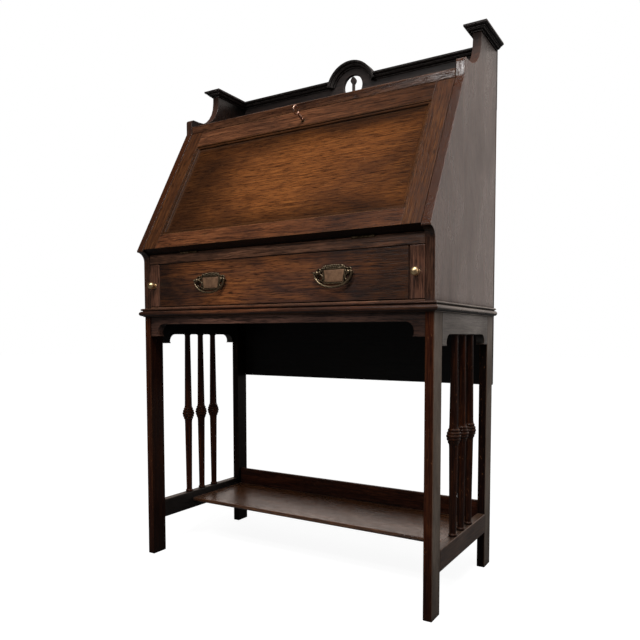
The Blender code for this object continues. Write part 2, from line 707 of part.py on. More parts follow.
def panel_mesh(half, low, high):
    """Panel with a moulded border that falls from the frame's face to the recessed field."""
    face = FALL_THICKNESS - GAP
    field = FALL_THICKNESS - PANEL_RECESS
    levels = [(0.0, GAP), (0.0, face), (PANEL_FILLET, face), (2.0 * PANEL_FILLET, face - PANEL_FILLET)]
    levels += [(PANEL_BORDER - PANEL_FILLET, field + PANEL_FILLET / 2.0), (PANEL_BORDER, field)]
    return stepped_mesh("panel", [(inset - half, half - inset, low + inset, high - inset, height)
                                  for inset, height in levels])


def build_fall(axis):
    """Stiles, rails and panel of the fall, drawn along and out from the hinge axis."""
    inner = FALL_HALF - STILE_WIDTH
    for side, label in SIDES:
        low, high = span(side, inner, FALL_HALF)
        board(f"fall_stile_{label}", (low, FALL_FOOT_CLEARANCE, 0.0), (high, FALL_LENGTH, FALL_THICKNESS),
              GOLDEN_OAK, axis, eased=False)
    reach = inner - GAP
    low = FALL_FOOT_CLEARANCE + BOTTOM_RAIL_WIDTH
    high = FALL_LENGTH - TOP_RAIL_WIDTH
    top_rail = board("fall_top_rail", (-reach, high, 0.0), (reach, FALL_LENGTH, FALL_THICKNESS),
                     GOLDEN_OAK, axis, eased=False)
    bottom_rail = board("fall_bottom_rail", (-reach, FALL_FOOT_CLEARANCE, 0.0), (reach, low, FALL_THICKNESS),
                        GOLDEN_OAK, axis, eased=False)
    add_piece("fall_panel", panel_mesh(reach, low + GAP, high - GAP), GOLDEN_OAK, axis)
    return top_rail, bottom_rail


ALONG_X = (0.0, math.pi / 2.0, 0.0)


def build_hinge(side, label, axis, bed, bottom_rail):
    """One hinge: a leaf let into the bed with the pin, and a leaf let into the fall."""
    centre = side * HINGE_OFFSET
    half = HINGE_LENGTH / 2.0
    third = HINGE_LENGTH / 3.0
    near = centre - half
    far = centre + half
    room = KNUCKLE_RADIUS + 2.0 * GAP
    flush = HINGE_LEAF_THICKNESS
    leaf = board(f"hinge_bed_leaf_{label}", (near, HINGE_Y, BED_TOP - flush),
                 (far, HINGE_Y + HINGE_LEAF, BED_TOP), BRASS, None, eased=False)
    for hand in (-1, 1):
        place = (centre + hand * third, HINGE_Y, BED_TOP)
        knuckle = rod_mesh("knuckle", KNUCKLE_RADIUS, third - GAP)
        join(leaf, add_piece(f"bed knuckle {label} {hand}", knuckle, None, None, place, ALONG_X))
    middle = third / 2.0 + GAP
    cut(leaf, board(f"bed leaf notch {label}", (centre - middle, HINGE_Y - room, BED_TOP - room),
                    (centre + middle, HINGE_Y + room, BED_TOP + room), None))
    pin = rod_mesh("pin", PIN_RADIUS, HINGE_LENGTH - 2.0 * GAP)
    join(leaf, add_piece(f"hinge pin {label}", pin, None, None, (centre, HINGE_Y, BED_TOP), ALONG_X))
    fall_leaf = board(f"hinge_fall_leaf_{label}", (near, 0.0, 0.0), (far, HINGE_LEAF, flush), BRASS, axis,
                      eased=False)
    for hand in (-1, 1):
        low, high = span(hand, third / 2.0 - GAP, half + GAP)
        cut(fall_leaf, board(f"fall leaf notch {label} {hand}", (centre + low, -room, -room),
                             (centre + high, room, room), None, axis))
    knuckle = rod_mesh("knuckle", KNUCKLE_RADIUS, third - 2.0 * GAP)
    join(fall_leaf, add_piece(f"fall knuckle {label}", knuckle, None, axis, (centre, 0.0, 0.0), ALONG_X))
    bore = rod_mesh("bore", PIN_RADIUS + PIN_CLEARANCE, third)
    cut(fall_leaf, add_piece(f"hinge bore {label}", bore, None, axis, (centre, 0.0, 0.0), ALONG_X))
    cut(bed, board(f"bed recess {label}", (near - GAP, BED_FRONT - HINGE_LEAF, BED_TOP - flush - GAP),
                   (far + GAP, HINGE_Y + HINGE_LEAF + GAP, BED_TOP + flush), None))
    cut(bed, board(f"bed knuckle room {label}", (near - GAP, BED_FRONT - HINGE_LEAF, BED_TOP - room),
                   (far + GAP, HINGE_Y + room, BED_TOP + room), None))
    cut(bottom_rail, board(f"fall recess {label}", (near - GAP, -HINGE_LEAF, -flush),
                           (far + GAP, HINGE_LEAF + GAP, flush + GAP), None, axis))
    cut(bottom_rail, board(f"fall knuckle room {label}", (near - GAP, -HINGE_LEAF, -room),
                           (far + GAP, room, room), None, axis))


def build_lock(axis, top_rail, stop_rail):
    """Lock let into the top rail, its bolt, and the key standing in it."""
    top = FALL_LENGTH - GAP
    half = LOCK_WIDTH / 2.0
    low = FALL_LENGTH - LOCK_HEIGHT
    case = board("lock_case", (-half, low, GAP), (half, top, LOCK_DEPTH), BRASS, axis, eased=False)
    cut(top_rail, board("lock pocket", (-half - GAP, low - GAP, -LOCK_DEPTH),
                        (half + GAP, FALL_LENGTH + LOCK_DEPTH, LOCK_DEPTH + GAP), None, axis))
    bolt_half = BOLT_WIDTH / 2.0
    bolt_low = LOCK_WALL + BOLT_CLEARANCE
    bolt_foot = top - BOLT_LENGTH
    board("lock_bolt", (-bolt_half, bolt_foot, bolt_low), (bolt_half, top, bolt_low + BOLT_THICKNESS),
          STEEL, axis, eased=False)
    slot_half = bolt_half + BOLT_CLEARANCE
    slot_high = bolt_low + BOLT_THICKNESS + BOLT_CLEARANCE
    cut(case, board("bolt slot", (-slot_half, bolt_foot - BOLT_CLEARANCE, LOCK_WALL),
                    (slot_half, top + BOLT_LENGTH, slot_high), None, axis))
    cut(stop_rail, board("bolt mortise", (-slot_half, top, LOCK_WALL),
                         (slot_half, top + BOLT_THROW + 2.0 * BOLT_CLEARANCE, slot_high), None, axis))
    key_axis = add_axis("key_axis", (0.0, KEY_LEVEL, 0.0), (0.0, 0.0, 0.0), axis)
    tail = LOCK_WALL + KEY_TAIL
    bow_height = FALL_THICKNESS + KEY_REACH
    hole = rod_mesh("key hole", KEY_RADIUS + KEY_CLEARANCE, 2.0 * FALL_THICKNESS)
    hole_cutter = add_piece("key passage", hole, None, key_axis, (0.0, 0.0, FALL_THICKNESS + tail))
    cut(top_rail, hole_cutter)
    cut(case, hole_cutter)
    ward_low = tail + BOLT_CLEARANCE
    ward = rod_mesh("ward", KEY_BIT + 2.0 * KEY_CLEARANCE, KEY_BIT_HEIGHT + 4.0 * KEY_CLEARANCE)
    cut(case, add_piece("key ward", ward, None, key_axis, (0.0, 0.0, ward_low + KEY_BIT_HEIGHT / 2.0)))
    shank_low = tail + 2.0 * KEY_CLEARANCE
    shank_length = bow_height - KEY_BOW_RADIUS - shank_low
    key = add_piece("key", rod_mesh("shank", KEY_RADIUS, shank_length), STEEL, key_axis,
                    (0.0, 0.0, shank_low + shank_length / 2.0))
    join(key, board("key bit", (-KEY_RADIUS / 2.0, -KEY_BIT, ward_low),
                    (KEY_RADIUS / 2.0, 0.0, ward_low + KEY_BIT_HEIGHT), None, key_axis))
    collar = rod_mesh("collar", KEY_COLLAR_RADIUS, KEY_COLLAR_RADIUS)
    join(key, add_piece("key collar", collar, None, key_axis, (0.0, 0.0, bow_height - 2.0 * KEY_BOW_RADIUS)))
    bpy.ops.mesh.primitive_torus_add(major_radius=KEY_BOW_RADIUS, minor_radius=KEY_BOW_WIRE,
                                     major_segments=20, minor_segments=8)
    ring = bpy.context.object
    bow = ring.data
    bpy.data.objects.remove(ring, do_unlink=True)
    join(key, add_piece("key bow", bow, None, key_axis, (0.0, 0.0, bow_height), ALONG_X))


def build_drawer(axis):
    """Drawer front, sides, back and bottom, drawn from the middle of the front's foot."""
    low = DRAWER_CLEARANCE
    high = BED_BOTTOM - DRAWER_CLEARANCE - DRAWER_FLOOR
    side_high = high - DRAWER_SIDE_DROP
    outer = PARTITION_INNER - DRAWER_CLEARANCE
    inner = outer - DRAWER_SIDE_THICKNESS
    near = DRAWER_FRONT_THICKNESS + GAP
    back = DRAWER_LENGTH - DRAWER_SIDE_THICKNESS
    board("drawer_front", (-DRAWER_HALF, 0.0, low), (DRAWER_HALF, DRAWER_FRONT_THICKNESS, high), DARK_OAK,
          axis)
    for side, label in SIDES:
        left, right = span(side, inner, outer)
        board(f"drawer_side_{label}", (left, near, low), (right, DRAWER_LENGTH, side_high), PLAIN_OAK, axis)
    reach = inner - GAP
    board("drawer_back", (-reach, back, low), (reach, DRAWER_LENGTH, side_high), PLAIN_OAK, axis)
    floor = low + DRAWER_BOTTOM_RISE
    board("drawer_bottom", (-reach, near, floor), (reach, back - GAP, floor + DRAWER_BOTTOM_THICKNESS),
          PLAIN_OAK, axis)
    return (low + high) / 2.0


def plate_outline():
    """Outline of a handle plate: a scalloped top, a bellied foot and an ear at each end."""
    half = PLATE_WIDTH / 2.0
    top = []
    bottom = []
    count = 4 * PLATE_SCALLOPS
    for step in range(count + 1):
        share = 2.0 * step / count - 1.0
        swell = 1.0 - share ** 4
        wave = PLATE_SCALLOP * abs(math.cos(math.pi * PLATE_SCALLOPS * share / 2.0)) * swell
        crest = PLATE_EAR + (PLATE_HEIGHT / 2.0 - PLATE_EAR) * swell
        top.append((half * share, crest - PLATE_SCALLOP + wave))
        if 0 < step < count:
            bottom.append((half * share, -PLATE_HEIGHT / 2.0 * math.sqrt(1.0 - share ** 2)))
    return list(reversed(top)) + bottom


def build_handle(side, label, drawer_axis, level):
    """Back plate with two posts, and the bail that swings between them."""
    centre = Vector((side * HANDLE_OFFSET, 0.0, level + HANDLE_RISE))
    face = -GAP - PLATE_THICKNESS
    middle = centre + Vector((0.0, -GAP - PLATE_THICKNESS / 2.0, 0.0))
    plate_mesh = outline_mesh("plate", [plate_outline()], PLATE_THICKNESS)
    plate = add_piece(f"handle_plate_{label}", plate_mesh, BRONZE, drawer_axis, middle, FACING)
    pivot = centre + Vector((0.0, face - POST_LENGTH + POST_RADIUS, POST_RISE))
    root = POST_LENGTH + PLATE_THICKNESS / 2.0
    for hand in (-1, 1):
        across = Vector((hand * POST_SPACING / 2.0, 0.0, 0.0))
        place = centre + across + Vector((0.0, face - POST_LENGTH + root / 2.0, POST_RISE))
        post = rod_mesh("post", POST_RADIUS, root)
        join(plate, add_piece(f"post {label} {hand}", post, None, drawer_axis, place, FACING))
    hole = rod_mesh("post hole", BAIL_WIRE + BAIL_CLEARANCE, POST_SPACING + 4.0 * POST_RADIUS)
    cut(plate, add_piece(f"post hole {label}", hole, None, drawer_axis, pivot, ALONG_X))
    axis = add_axis(f"bail_axis_{label}", pivot, (0.0, 0.0, 0.0), drawer_axis)
    add_piece(f"handle_bail_{label}", bail_mesh(), BRONZE, axis)


def bail_mesh():
    """Bent rod: a pin through each post and a hanging half oval between them."""
    arm = POST_SPACING / 2.0 + POST_RADIUS + BAIL_WIRE + 2.0 * BAIL_CLEARANCE
    tip = POST_SPACING / 2.0 - POST_RADIUS
    curve = bpy.data.curves.new("bail", "CURVE")
    curve.dimensions = "3D"
    curve.bevel_depth = BAIL_WIRE
    curve.bevel_resolution = 2
    curve.use_fill_caps = True
    points = [(-tip, 0.0)]
    for step in range(BAIL_STEPS + 1):
        angle = math.pi * step / BAIL_STEPS
        points.append((-arm * math.cos(angle), -BAIL_DROP * math.sin(angle)))
    points.append((tip, 0.0))
    spline = curve.splines.new("POLY")
    spline.points.add(len(points) - 1)
    for point, (across, up) in zip(spline.points, points):
        point.co = (across, 0.0, up, 1.0)
    mesh = mesh_from_curve(curve)
    mesh.shade_smooth()
    mesh.set_sharp_from_angle(angle=math.radians(50.0))
    return mesh


def knob_profile():
    """Radius and height of a loper's knob on its rose, top to bottom."""
    ball = KNOB_ROSE + KNOB_NECK + math.sqrt(KNOB_RADIUS ** 2 - KNOB_NECK_RADIUS ** 2)
    foot = math.degrees(math.asin((KNOB_ROSE + KNOB_NECK - ball) / KNOB_RADIUS))
    profile = arc((0.0, ball), KNOB_RADIUS, 90.0, foot, ARC_STEPS)
    profile[0] = (0.0, ball + KNOB_RADIUS)
    profile += [(KNOB_NECK_RADIUS, KNOB_ROSE), (KNOB_ROSE_RADIUS, KNOB_ROSE)]
    return profile + [(KNOB_ROSE_RADIUS, 0.0), (0.0, 0.0)]


def build_loper(side, label):
    """Loper beside the drawer, with the knob that pulls it out."""
    low = DRAWER_FLOOR + LOPER_CLEARANCE
    high = BED_BOTTOM - LOPER_CLEARANCE / 2.0
    centre = LOPER_INNER + LOPER_WIDTH / 2.0
    axis = add_axis(f"loper_axis_{label}", (side * centre, FRONT, (low + high) / 2.0))
    half = Vector((LOPER_WIDTH / 2.0, 0.0, (high - low) / 2.0))
    board(f"loper_{label}", -half, half + Vector((0.0, LOPER_LENGTH, 0.0)), DARK_OAK, axis)
    knob = turned_mesh("knob", knob_profile())
    add_piece(f"loper_knob_{label}", knob, BRASS, axis, (0.0, -GAP, 0.0), FACING)


def build_rack():
    """Pigeonholes: one board on a row of dividers, glued up as a unit."""
    half = INSIDE - GAP
    bottom = BED_TOP + GAP
    top = BED_TOP + RACK_HEIGHT
    pitch = (2.0 * half - RACK_BOARD) / RACK_COMPARTMENTS
    ring = [(half, top), (-half, top)]
    for number in range(RACK_COMPARTMENTS + 1):
        left = -half + number * pitch
        right = left + RACK_BOARD
        if number:
            ring.append((left, top - RACK_BOARD))
        ring += [(left, bottom), (right, bottom)]
        if number < RACK_COMPARTMENTS:
            ring.append((right, top - RACK_BOARD))
    middle = BACK - RACK_SETBACK - RACK_DEPTH / 2.0
    mesh = outline_mesh("rack", [ring], RACK_DEPTH)
    add_piece("pigeonhole_rack", mesh, PLAIN_OAK, None, (0.0, middle, 0.0), FACING)


def build_bureau():
    """Build the pieces from the floor up."""
    build_stand()
    build_waist()
    build_case()
    build_gallery()
    build_rack()
    stop_rail = build_stop_rail()
    fall_axis = add_axis("fall_axis", (0.0, HINGE_Y, BED_TOP), (FALL_SLOPE, 0.0, 0.0))
    top_rail, bottom_rail = build_fall(fall_axis)
    for side, label in SIDES:
        build_hinge(side, label, fall_axis, bpy.data.objects["writing_bed"], bottom_rail)
        build_loper(side, label)
    build_lock(fall_axis, top_rail, stop_rail)
    drawer_axis = add_axis("drawer_axis", (0.0, FRONT, DRAWER_FLOOR))
    level = build_drawer(drawer_axis)
    for side, label in SIDES:
        build_handle(side, label, drawer_axis, level)


build_bureau()
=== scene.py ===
"""Looks of an oak fall-front writing bureau: finishes, finer fittings, studio and camera.

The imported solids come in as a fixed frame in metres. Each class below is one sub-assembly of the
bureau: it gives its solids their finish and models the fittings that need a finer shape.
"""

import logging
import math
from collections.abc import Callable
from dataclasses import dataclass, replace
from enum import Enum
from functools import cache

import bpy
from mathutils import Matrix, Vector


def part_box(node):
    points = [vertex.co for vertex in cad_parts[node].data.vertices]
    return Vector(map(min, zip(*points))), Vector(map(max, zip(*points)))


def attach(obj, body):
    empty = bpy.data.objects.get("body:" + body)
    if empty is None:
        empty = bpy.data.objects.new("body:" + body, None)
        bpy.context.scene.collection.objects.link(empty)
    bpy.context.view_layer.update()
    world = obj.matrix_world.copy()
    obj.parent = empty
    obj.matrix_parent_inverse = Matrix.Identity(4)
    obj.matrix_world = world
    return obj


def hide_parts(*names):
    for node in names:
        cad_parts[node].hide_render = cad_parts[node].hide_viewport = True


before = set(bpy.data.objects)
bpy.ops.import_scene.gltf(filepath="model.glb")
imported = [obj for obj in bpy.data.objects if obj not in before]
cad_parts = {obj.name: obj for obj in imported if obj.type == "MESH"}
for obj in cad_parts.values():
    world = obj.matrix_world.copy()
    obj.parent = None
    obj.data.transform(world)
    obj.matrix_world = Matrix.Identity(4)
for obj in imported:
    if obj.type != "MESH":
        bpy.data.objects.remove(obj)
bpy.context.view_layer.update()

LOG = logging.getLogger("bureau")
MM = 0.001
QUARTER = math.pi / 2.0
FALL_SLOPE = math.radians(62.0)
HANDS = ((-1, "left"), (1, "right"))

Point = tuple[float, float, float]
Span = tuple[float, float]
Profile = list[Span]
Steps = tuple[Span, ...]
Material = bpy.types.Material
Node = bpy.types.Node
Piece = bpy.types.Object
Tree = bpy.types.NodeTree


def linear(colour: str) -> tuple[float, float, float, float]:
    """Turn an sRGB hex colour into linear light.

    Args:
        colour: six hex digits after a hash sign.

    Returns:
        Red, green, blue and full alpha.
    """
    shares = [int(colour[place:place + 2], 16) / 255.0 for place in (1, 3, 5)]
    light = [share / 12.92 if share <= 0.04045 else ((share + 0.055) / 1.055) ** 2.4 for share in shares]
    return (light[0], light[1], light[2], 1.0)


def link(tree: Tree, node: Node, links: dict) -> None:
    """Feed a node's inputs.

    Args:
        tree: the tree that holds the node.
        node: the node that is fed.
        links: what feeds its inputs, by name or number: a socket, or a node for its first output in use.
    """
    for name, feed in links.items():
        if isinstance(feed, Node):
            feed = next(socket for socket in feed.outputs if socket.enabled)
        tree.links.new(feed, node.inputs[name])


def add_node(tree: Tree, kind: str, settings: dict | None = None, links: dict | None = None) -> Node:
    """Add a shader node with its settings and its links.

    Args:
        tree: the tree that takes the node.
        kind: type name of the node, without the words that all of them start with.
        settings: values of properties, or of inputs by name or number.
        links: what feeds the inputs, as link takes it.

    Returns:
        The new node.
    """
    node = tree.nodes.new(f"ShaderNode{kind}")
    for name, value in (settings or {}).items():
        if isinstance(name, str) and hasattr(node, name):
            setattr(node, name, value)
        else:
            node.inputs[name].default_value = value
    link(tree, node, links or {})
    return node


def new_material(name: str) -> tuple[Material, Tree, Node]:
    """Start a node material.

    Args:
        name: what the finish is.

    Returns:
        The material, its tree and its surface shader.
    """
    material = bpy.data.materials.new(name)
    material.use_nodes = True
    tree = material.node_tree
    return material, tree, tree.nodes["Principled BSDF"]


class Grain(Enum):
    """Way the grain of a board runs, as the turn that lays it along the pattern's first axis."""

    ALONG_FRONT = (0.0, 0.0, 0.0)
    ALONG_DEPTH = (0.0, 0.0, -QUARTER)
    UPRIGHT = (0.0, QUARTER, 0.0)
    UP_THE_FALL = (-FALL_SLOPE, 0.0, -QUARTER)


@dataclass(frozen=True)
class DarkBorder:
    """Darkening of a board's colour towards its edges. On the legs, the ends, the panel and the apron it is
    painted shade and the fall-off of light; on the other boards it is only a darker tone.

    Attributes:
        centre: middle of the board.
        half: half its size; a long way where the border doesn't follow that direction.
        start: share of the half size at which the board starts to darken.
        depth: share of the light that the edge loses.
    """

    centre: Point
    half: Point
    start: float = 0.55
    depth: float = 0.6

    RAGGED = 0.5
    MEAN_RAGGED = 0.25
    ROUNDING = 0.3
    FULL = 1.3

    def light(self, tree: Tree, place: Node, ragged: Node) -> Node:
        """Make the share of light that the border leaves.

        Args:
            tree: the material's tree.
            place: the piece's own coordinates.
            ragged: pattern that makes the border uneven.

        Returns:
            The share, 1 inside the border.
        """
        offset = add_node(tree, "VectorMath", {"operation": "SUBTRACT", 1: self.centre},
                          {0: place.outputs["Object"]})
        share = add_node(tree, "VectorMath", {"operation": "DIVIDE", 1: self.half}, {0: offset})
        away = add_node(tree, "VectorMath", {"operation": "ABSOLUTE"}, {0: share})
        parts = add_node(tree, "SeparateXYZ", None, {"Vector": away}).outputs
        farthest = add_node(tree, "Math", {"operation": "SMOOTH_MAX", 2: self.ROUNDING},
                            {0: parts["X"], 1: parts["Z"]})
        uneven = add_node(tree, "Math", {"operation": "MULTIPLY_ADD", 1: self.RAGGED},
                          {0: ragged, 2: farthest})
        fade = {"interpolation_type": "SMOOTHSTEP", "From Min": self.start + self.MEAN_RAGGED,
                "From Max": self.FULL, "To Min": 1.0, "To Max": 1.0 - self.depth}
        return add_node(tree, "MapRange", fade, {"Value": uneven})


@dataclass(frozen=True)
class StainedOak:
    """Sawn oak, stained and rubbed up with shellac polish.

    The stain sinks into the open pores as short dark dashes along the grain, the growth rings show as
    streaks and small dents hold grime. Edges take an edge colour: rubbed lighter by hands on most boards,
    painted highlights on the black mouldings and a painted shadow line round the drawer. Inner corners
    darken with waxed grime and painted shade; the undersides and the faces turned to the desk's middle
    darken as painted shade, and faces turned out to the sides can take a painted sheen.

    Attributes:
        name: what the board is.
        grain: way the grain runs.
        dark: stain in the darkest streaks.
        middle: usual colour.
        light: colour of the palest streaks.
        patch: colour of the stain where it has gone darker in broad patches.
        patch_share: how much of the board the patches darken, 0 to 1.
        rubbed: colour of the edges and small flecks; on some boards it paints highlights and shadow lines.
        roughness: mean roughness of the polish.
        streak_mm: width of the growth-ring streaks.
        patch_mm: length of the broad patches.
        corner_wax_and_shade: share of light taken from inner corners by waxed grime and painted shade.
        border: how the board darkens towards its edges, if it does.
        scuff: share of the small rubbed flecks that show.
        ior: index of refraction of the polish.
        edge_mm: width of the edges that take the edge colour.
        rub: how strongly the edge colour is laid on.
        inner: share of light left on the faces turned to the desk's middle, as painted shade.
        sloped: colour of the edge that lies along the fall's slope, if it is another.
        hollow: colour of the dull hollow in the front of the neck, if it is another.
        side_sheen: painted sheen, as a colour on the faces turned out to the sides, if there is one.
        pores: how far the pores are filled with dark stain, 0 to 1.
        underside_shade: share of light left on the undersides, as painted shade.
    """

    name: str
    grain: Grain
    dark: str
    middle: str
    light: str
    patch: str = "#1a0f0b"
    patch_share: float = 0.5
    rubbed: str = "#6a4630"
    roughness: float = 0.36
    streak_mm: float = 7.0
    patch_mm: float = 220.0
    corner_wax_and_shade: float = 0.6
    border: DarkBorder | None = None
    scuff: float = 0.35
    ior: float = 1.42
    edge_mm: float = 2.2
    rub: float = 0.75
    inner: float = 1.0
    sloped: str | None = None
    hollow: str | None = None
    side_sheen: str | None = None
    pores: float = 0.85
    underside_shade: float = 0.14

    # The pores are drawn about six times coarser than real, so that they show.
    PORE_MM = 1.3
    FLECK_MM = 5.0
    CORNER_WAX_AND_SHADE_MM = 16.0
    RELIEF_MM = 0.5
    RELIEF = 0.35
    # How far each pattern is drawn out along the grain.
    STREAK_STRETCH = 26.0
    PORE_STRETCH = 18.0
    PATCH_STRETCH = 2.6
    FLECK_STRETCH = 2.0
    # Share of a pattern at which its mark starts to show and at which it shows in full.
    PATCH_MARK = (0.42, 0.68)
    PORE_MARK = (0.50, 0.66)
    FLECK_MARK = (0.62, 0.72)
    DENT_MARK = (0.31, 0.25)
    DENT_SHARE = 0.8
    INK_SHARE = 0.35
    STREAK_STOPS = (0.36, 0.5, 0.64)
    # Cosine between the rounded and the flat face where the edge colour starts and where it is in full.
    EDGE_MARK = (0.995, 0.86)
    # How open a corner is where the waxed grime and painted shade are thickest and where they end.
    CORNER_WAX_AND_SHADE_MARK = (0.3, 0.92)
    DULL_MARK = (0.3, 0.9)
    DULL_CORNER = 0.6
    DULL_HOLLOW = 0.4
    # How much glossier and duller than the mean the polish is.
    POLISHED = 0.05
    DULLED = 0.10
    POLISH_MARK = (0.3, 0.7)
    ALL = (0.0, 1.0)
    FRONT = (0.0, -1.0, 0.0)
    SLOPE = (0.0, -math.sin(FALL_SLOPE), math.cos(FALL_SLOPE))
    SLOPE_MARK = (0.95, 0.99)
    SLOPE_HEIGHTS = (1075.0 * MM, 1055.0 * MM)
    SLOPE_SHARE = 0.85
    NECK_MARK = (0.05, 0.3)
    NECK_HEIGHTS = (1108.0 * MM, 1114.0 * MM)
    SIDE_SHEEN_MARK = (0.2, 0.3)
    SIDE_SHEEN_SHARE = 0.8
    INWARD_SHADE_MARK = (0.0, -0.1)
    UNDERSIDE_SHADE_MARK = (0.4, 0.8)

    def patterns(self, tree: Tree, place: Node) -> list[Node]:
        """Make the streaks, the pores, the broad patches and the flecks, each drawn out along the grain.

        Args:
            tree: the material's tree.
            place: the piece's own coordinates.

        Returns:
            The four patterns.
        """
        turn = add_node(tree, "Mapping", {"Rotation": self.grain.value}, {"Vector": place.outputs["Object"]})
        made = []
        for width, stretch, detail, roughness, warp in (
                (self.streak_mm, self.STREAK_STRETCH, 6.0, 0.72, 0.4),
                (self.PORE_MM, self.PORE_STRETCH, 2.0, 0.5, 0.0),
                (self.patch_mm / self.PATCH_STRETCH, self.PATCH_STRETCH, 3.0, 0.55, 0.6),
                (self.FLECK_MM, self.FLECK_STRETCH, 4.0, 0.7, 0.0)):
            across = 1.0 / (width * MM)
            scale = (across / stretch, across, across)
            scaled = add_node(tree, "Mapping", {"Scale": scale}, {"Vector": turn})
            look = {"Scale": 1.0, "Detail": detail, "Roughness": roughness, "Distortion": warp}
            made.append(add_node(tree, "TexNoise", look, {"Vector": scaled}))
        return made

    def facing(self, tree: Tree, place: Node, way: Point, mark: Span, heights: Span) -> Node:
        """Find the faces that look one way, above or below a height.

        Args:
            tree: the material's tree.
            place: the piece's own coordinates.
            way: direction that the faces look in.
            mark: cosine to that direction at which they start to count and at which they count in full.
            heights: height at which they start to count and at which they count in full.

        Returns:
            1 on these faces and 0 elsewhere.
        """
        near = add_node(tree, "VectorMath", {"operation": "DOT_PRODUCT", 1: way},
                        {0: place.outputs["Normal"]})
        parts = add_node(tree, "SeparateXYZ", None, {"Vector": place.outputs["Object"]})
        found = [add_node(tree, "MapRange", {"From Min": ends[0], "From Max": ends[1]}, {"Value": feed})
                 for feed, ends in ((near, mark), (parts.outputs["Z"], heights))]
        return add_node(tree, "Math", {"operation": "MULTIPLY"}, {0: found[0], 1: found[1]})

    def edge_marks(self, tree: Tree, edge: Node, patch: Node) -> Node:
        """Find the edges that take the edge colour: rubbed wear, painted highlights and painted shadow lines.

        Args:
            tree: the material's tree.
            edge: the rounded surface.
            patch: the broad patches, which make the edge colour uneven.

        Returns:
            How strongly the edge colour is laid on.
        """
        flat = add_node(tree, "NewGeometry").outputs["True Normal"]
        square = add_node(tree, "VectorMath", {"operation": "DOT_PRODUCT"}, {0: edge, 1: flat})
        low, high = self.EDGE_MARK
        rub = add_node(tree, "MapRange", {"From Min": low, "From Max": high, "To Max": self.rub},
                       {"Value": square})
        return add_node(tree, "Math", {"operation": "MULTIPLY", "use_clamp": True}, {0: rub, 1: patch})

    @cache
    def material(self) -> Material:
        """Make the node material of this oak, once."""
        material, tree, shader = new_material(self.name)
        place = add_node(tree, "TexCoord")
        streak, pore, patch, fleck = self.patterns(tree, place)
        outwards = add_node(tree, "VectorMath", {"operation": "MULTIPLY"},
                            {0: place.outputs["Object"], 1: place.outputs["Normal"]})
        across = add_node(tree, "SeparateXYZ", None, {"Vector": outwards}).outputs["X"]
        down = add_node(tree, "VectorMath", {"operation": "DOT_PRODUCT", 1: (0.0, 0.0, -1.0)},
                        {0: place.outputs["Normal"]})
        edge = add_node(tree, "Bevel", {"samples": 6, "Radius": self.edge_mm * MM})
        hollows = add_node(tree, "AmbientOcclusion", {"samples": 6, "Distance": self.CORNER_WAX_AND_SHADE_MM * MM})
        corner = hollows.outputs["AO"]

        colour = add_node(tree, "ValToRGB", None, {"Fac": streak})
        colour.color_ramp.elements.new(1.0)
        stops = zip(colour.color_ramp.elements, self.STREAK_STOPS, (self.dark, self.middle, self.light))
        for element, position, stain in stops:
            element.position = position
            element.color = linear(stain)
        ink = tuple(self.INK_SHARE * share for share in linear(self.dark)[:3]) + (1.0,)
        marks = []
        if self.sloped:
            slope = self.facing(tree, place, self.SLOPE, self.SLOPE_MARK, self.SLOPE_HEIGHTS)
            marks.append((slope, self.ALL, self.SLOPE_SHARE, linear(self.sloped)))
        # Painted sheen on the faces turned out to the sides.
        if self.side_sheen:
            marks.append((across, self.SIDE_SHEEN_MARK, self.SIDE_SHEEN_SHARE, linear(self.side_sheen)))
        if self.hollow:
            neck = self.facing(tree, place, self.FRONT, self.NECK_MARK, self.NECK_HEIGHTS)
            marks.append((neck, self.ALL, 1.0, linear(self.hollow)))
        marks.append((patch, self.PATCH_MARK, self.patch_share, linear(self.patch)))
        marks.append((pore, self.PORE_MARK, self.pores, ink))
        marks.append((fleck, self.FLECK_MARK, self.scuff, linear(self.rubbed)))
        marks.append((fleck, self.DENT_MARK, self.DENT_SHARE, ink))
        marks.append((self.edge_marks(tree, edge, patch), self.ALL, 1.0, linear(self.rubbed)))
        masks = {}
        for feed, (low, high), share, paint in marks:
            masks[feed] = add_node(tree, "MapRange", {"From Min": low, "From Max": high, "To Max": share},
                                   {"Value": feed})
            colour = add_node(tree, "Mix", {"data_type": "RGBA", 7: paint},
                              {"Factor": masks[feed], 6: colour})

        # Painted shade as shares of light: in inner corners together with waxed grime, on the undersides and
        # on the faces turned to the desk's middle; the last two grades set the polish's roughness.
        grades = []
        for feed, (low, high), (first, last) in (
                (corner, self.CORNER_WAX_AND_SHADE_MARK, (1.0 - self.corner_wax_and_shade, 1.0)),
                (down, self.UNDERSIDE_SHADE_MARK, (1.0, self.underside_shade)),
                (across, self.INWARD_SHADE_MARK, (1.0, self.inner)),
                (patch, self.POLISH_MARK, (self.roughness - self.POLISHED, self.roughness + self.DULLED)),
                (corner, self.DULL_MARK, (self.DULL_CORNER, 0.0))):
            settings = {"From Min": low, "From Max": high, "To Min": first, "To Max": last}
            grades.append(add_node(tree, "MapRange", settings, {"Value": feed}))
        *lights, polish, dull = grades
        if self.border:
            lights.append(self.border.light(tree, place, patch))
        for light in lights:
            colour = add_node(tree, "VectorMath", {"operation": "SCALE"}, {0: colour, "Scale": light})

        gloss = add_node(tree, "Math", {"operation": "ADD", "use_clamp": True}, {0: polish, 1: dull})
        if self.hollow:
            gloss = add_node(tree, "Math", {"operation": "MULTIPLY_ADD", "use_clamp": True,
                                            1: self.DULL_HOLLOW}, {0: neck, 2: gloss})
        relief = add_node(tree, "Math", {"operation": "SUBTRACT"}, {0: streak, 1: masks[pore]})
        bump = add_node(tree, "Bump", {"Strength": self.RELIEF, "Distance": self.RELIEF_MM * MM},
                        {"Height": relief, "Normal": edge})
        link(tree, shader, {"Base Color": colour, "Roughness": gloss, "Normal": bump})
        shader.inputs["IOR"].default_value = self.ior
        return material


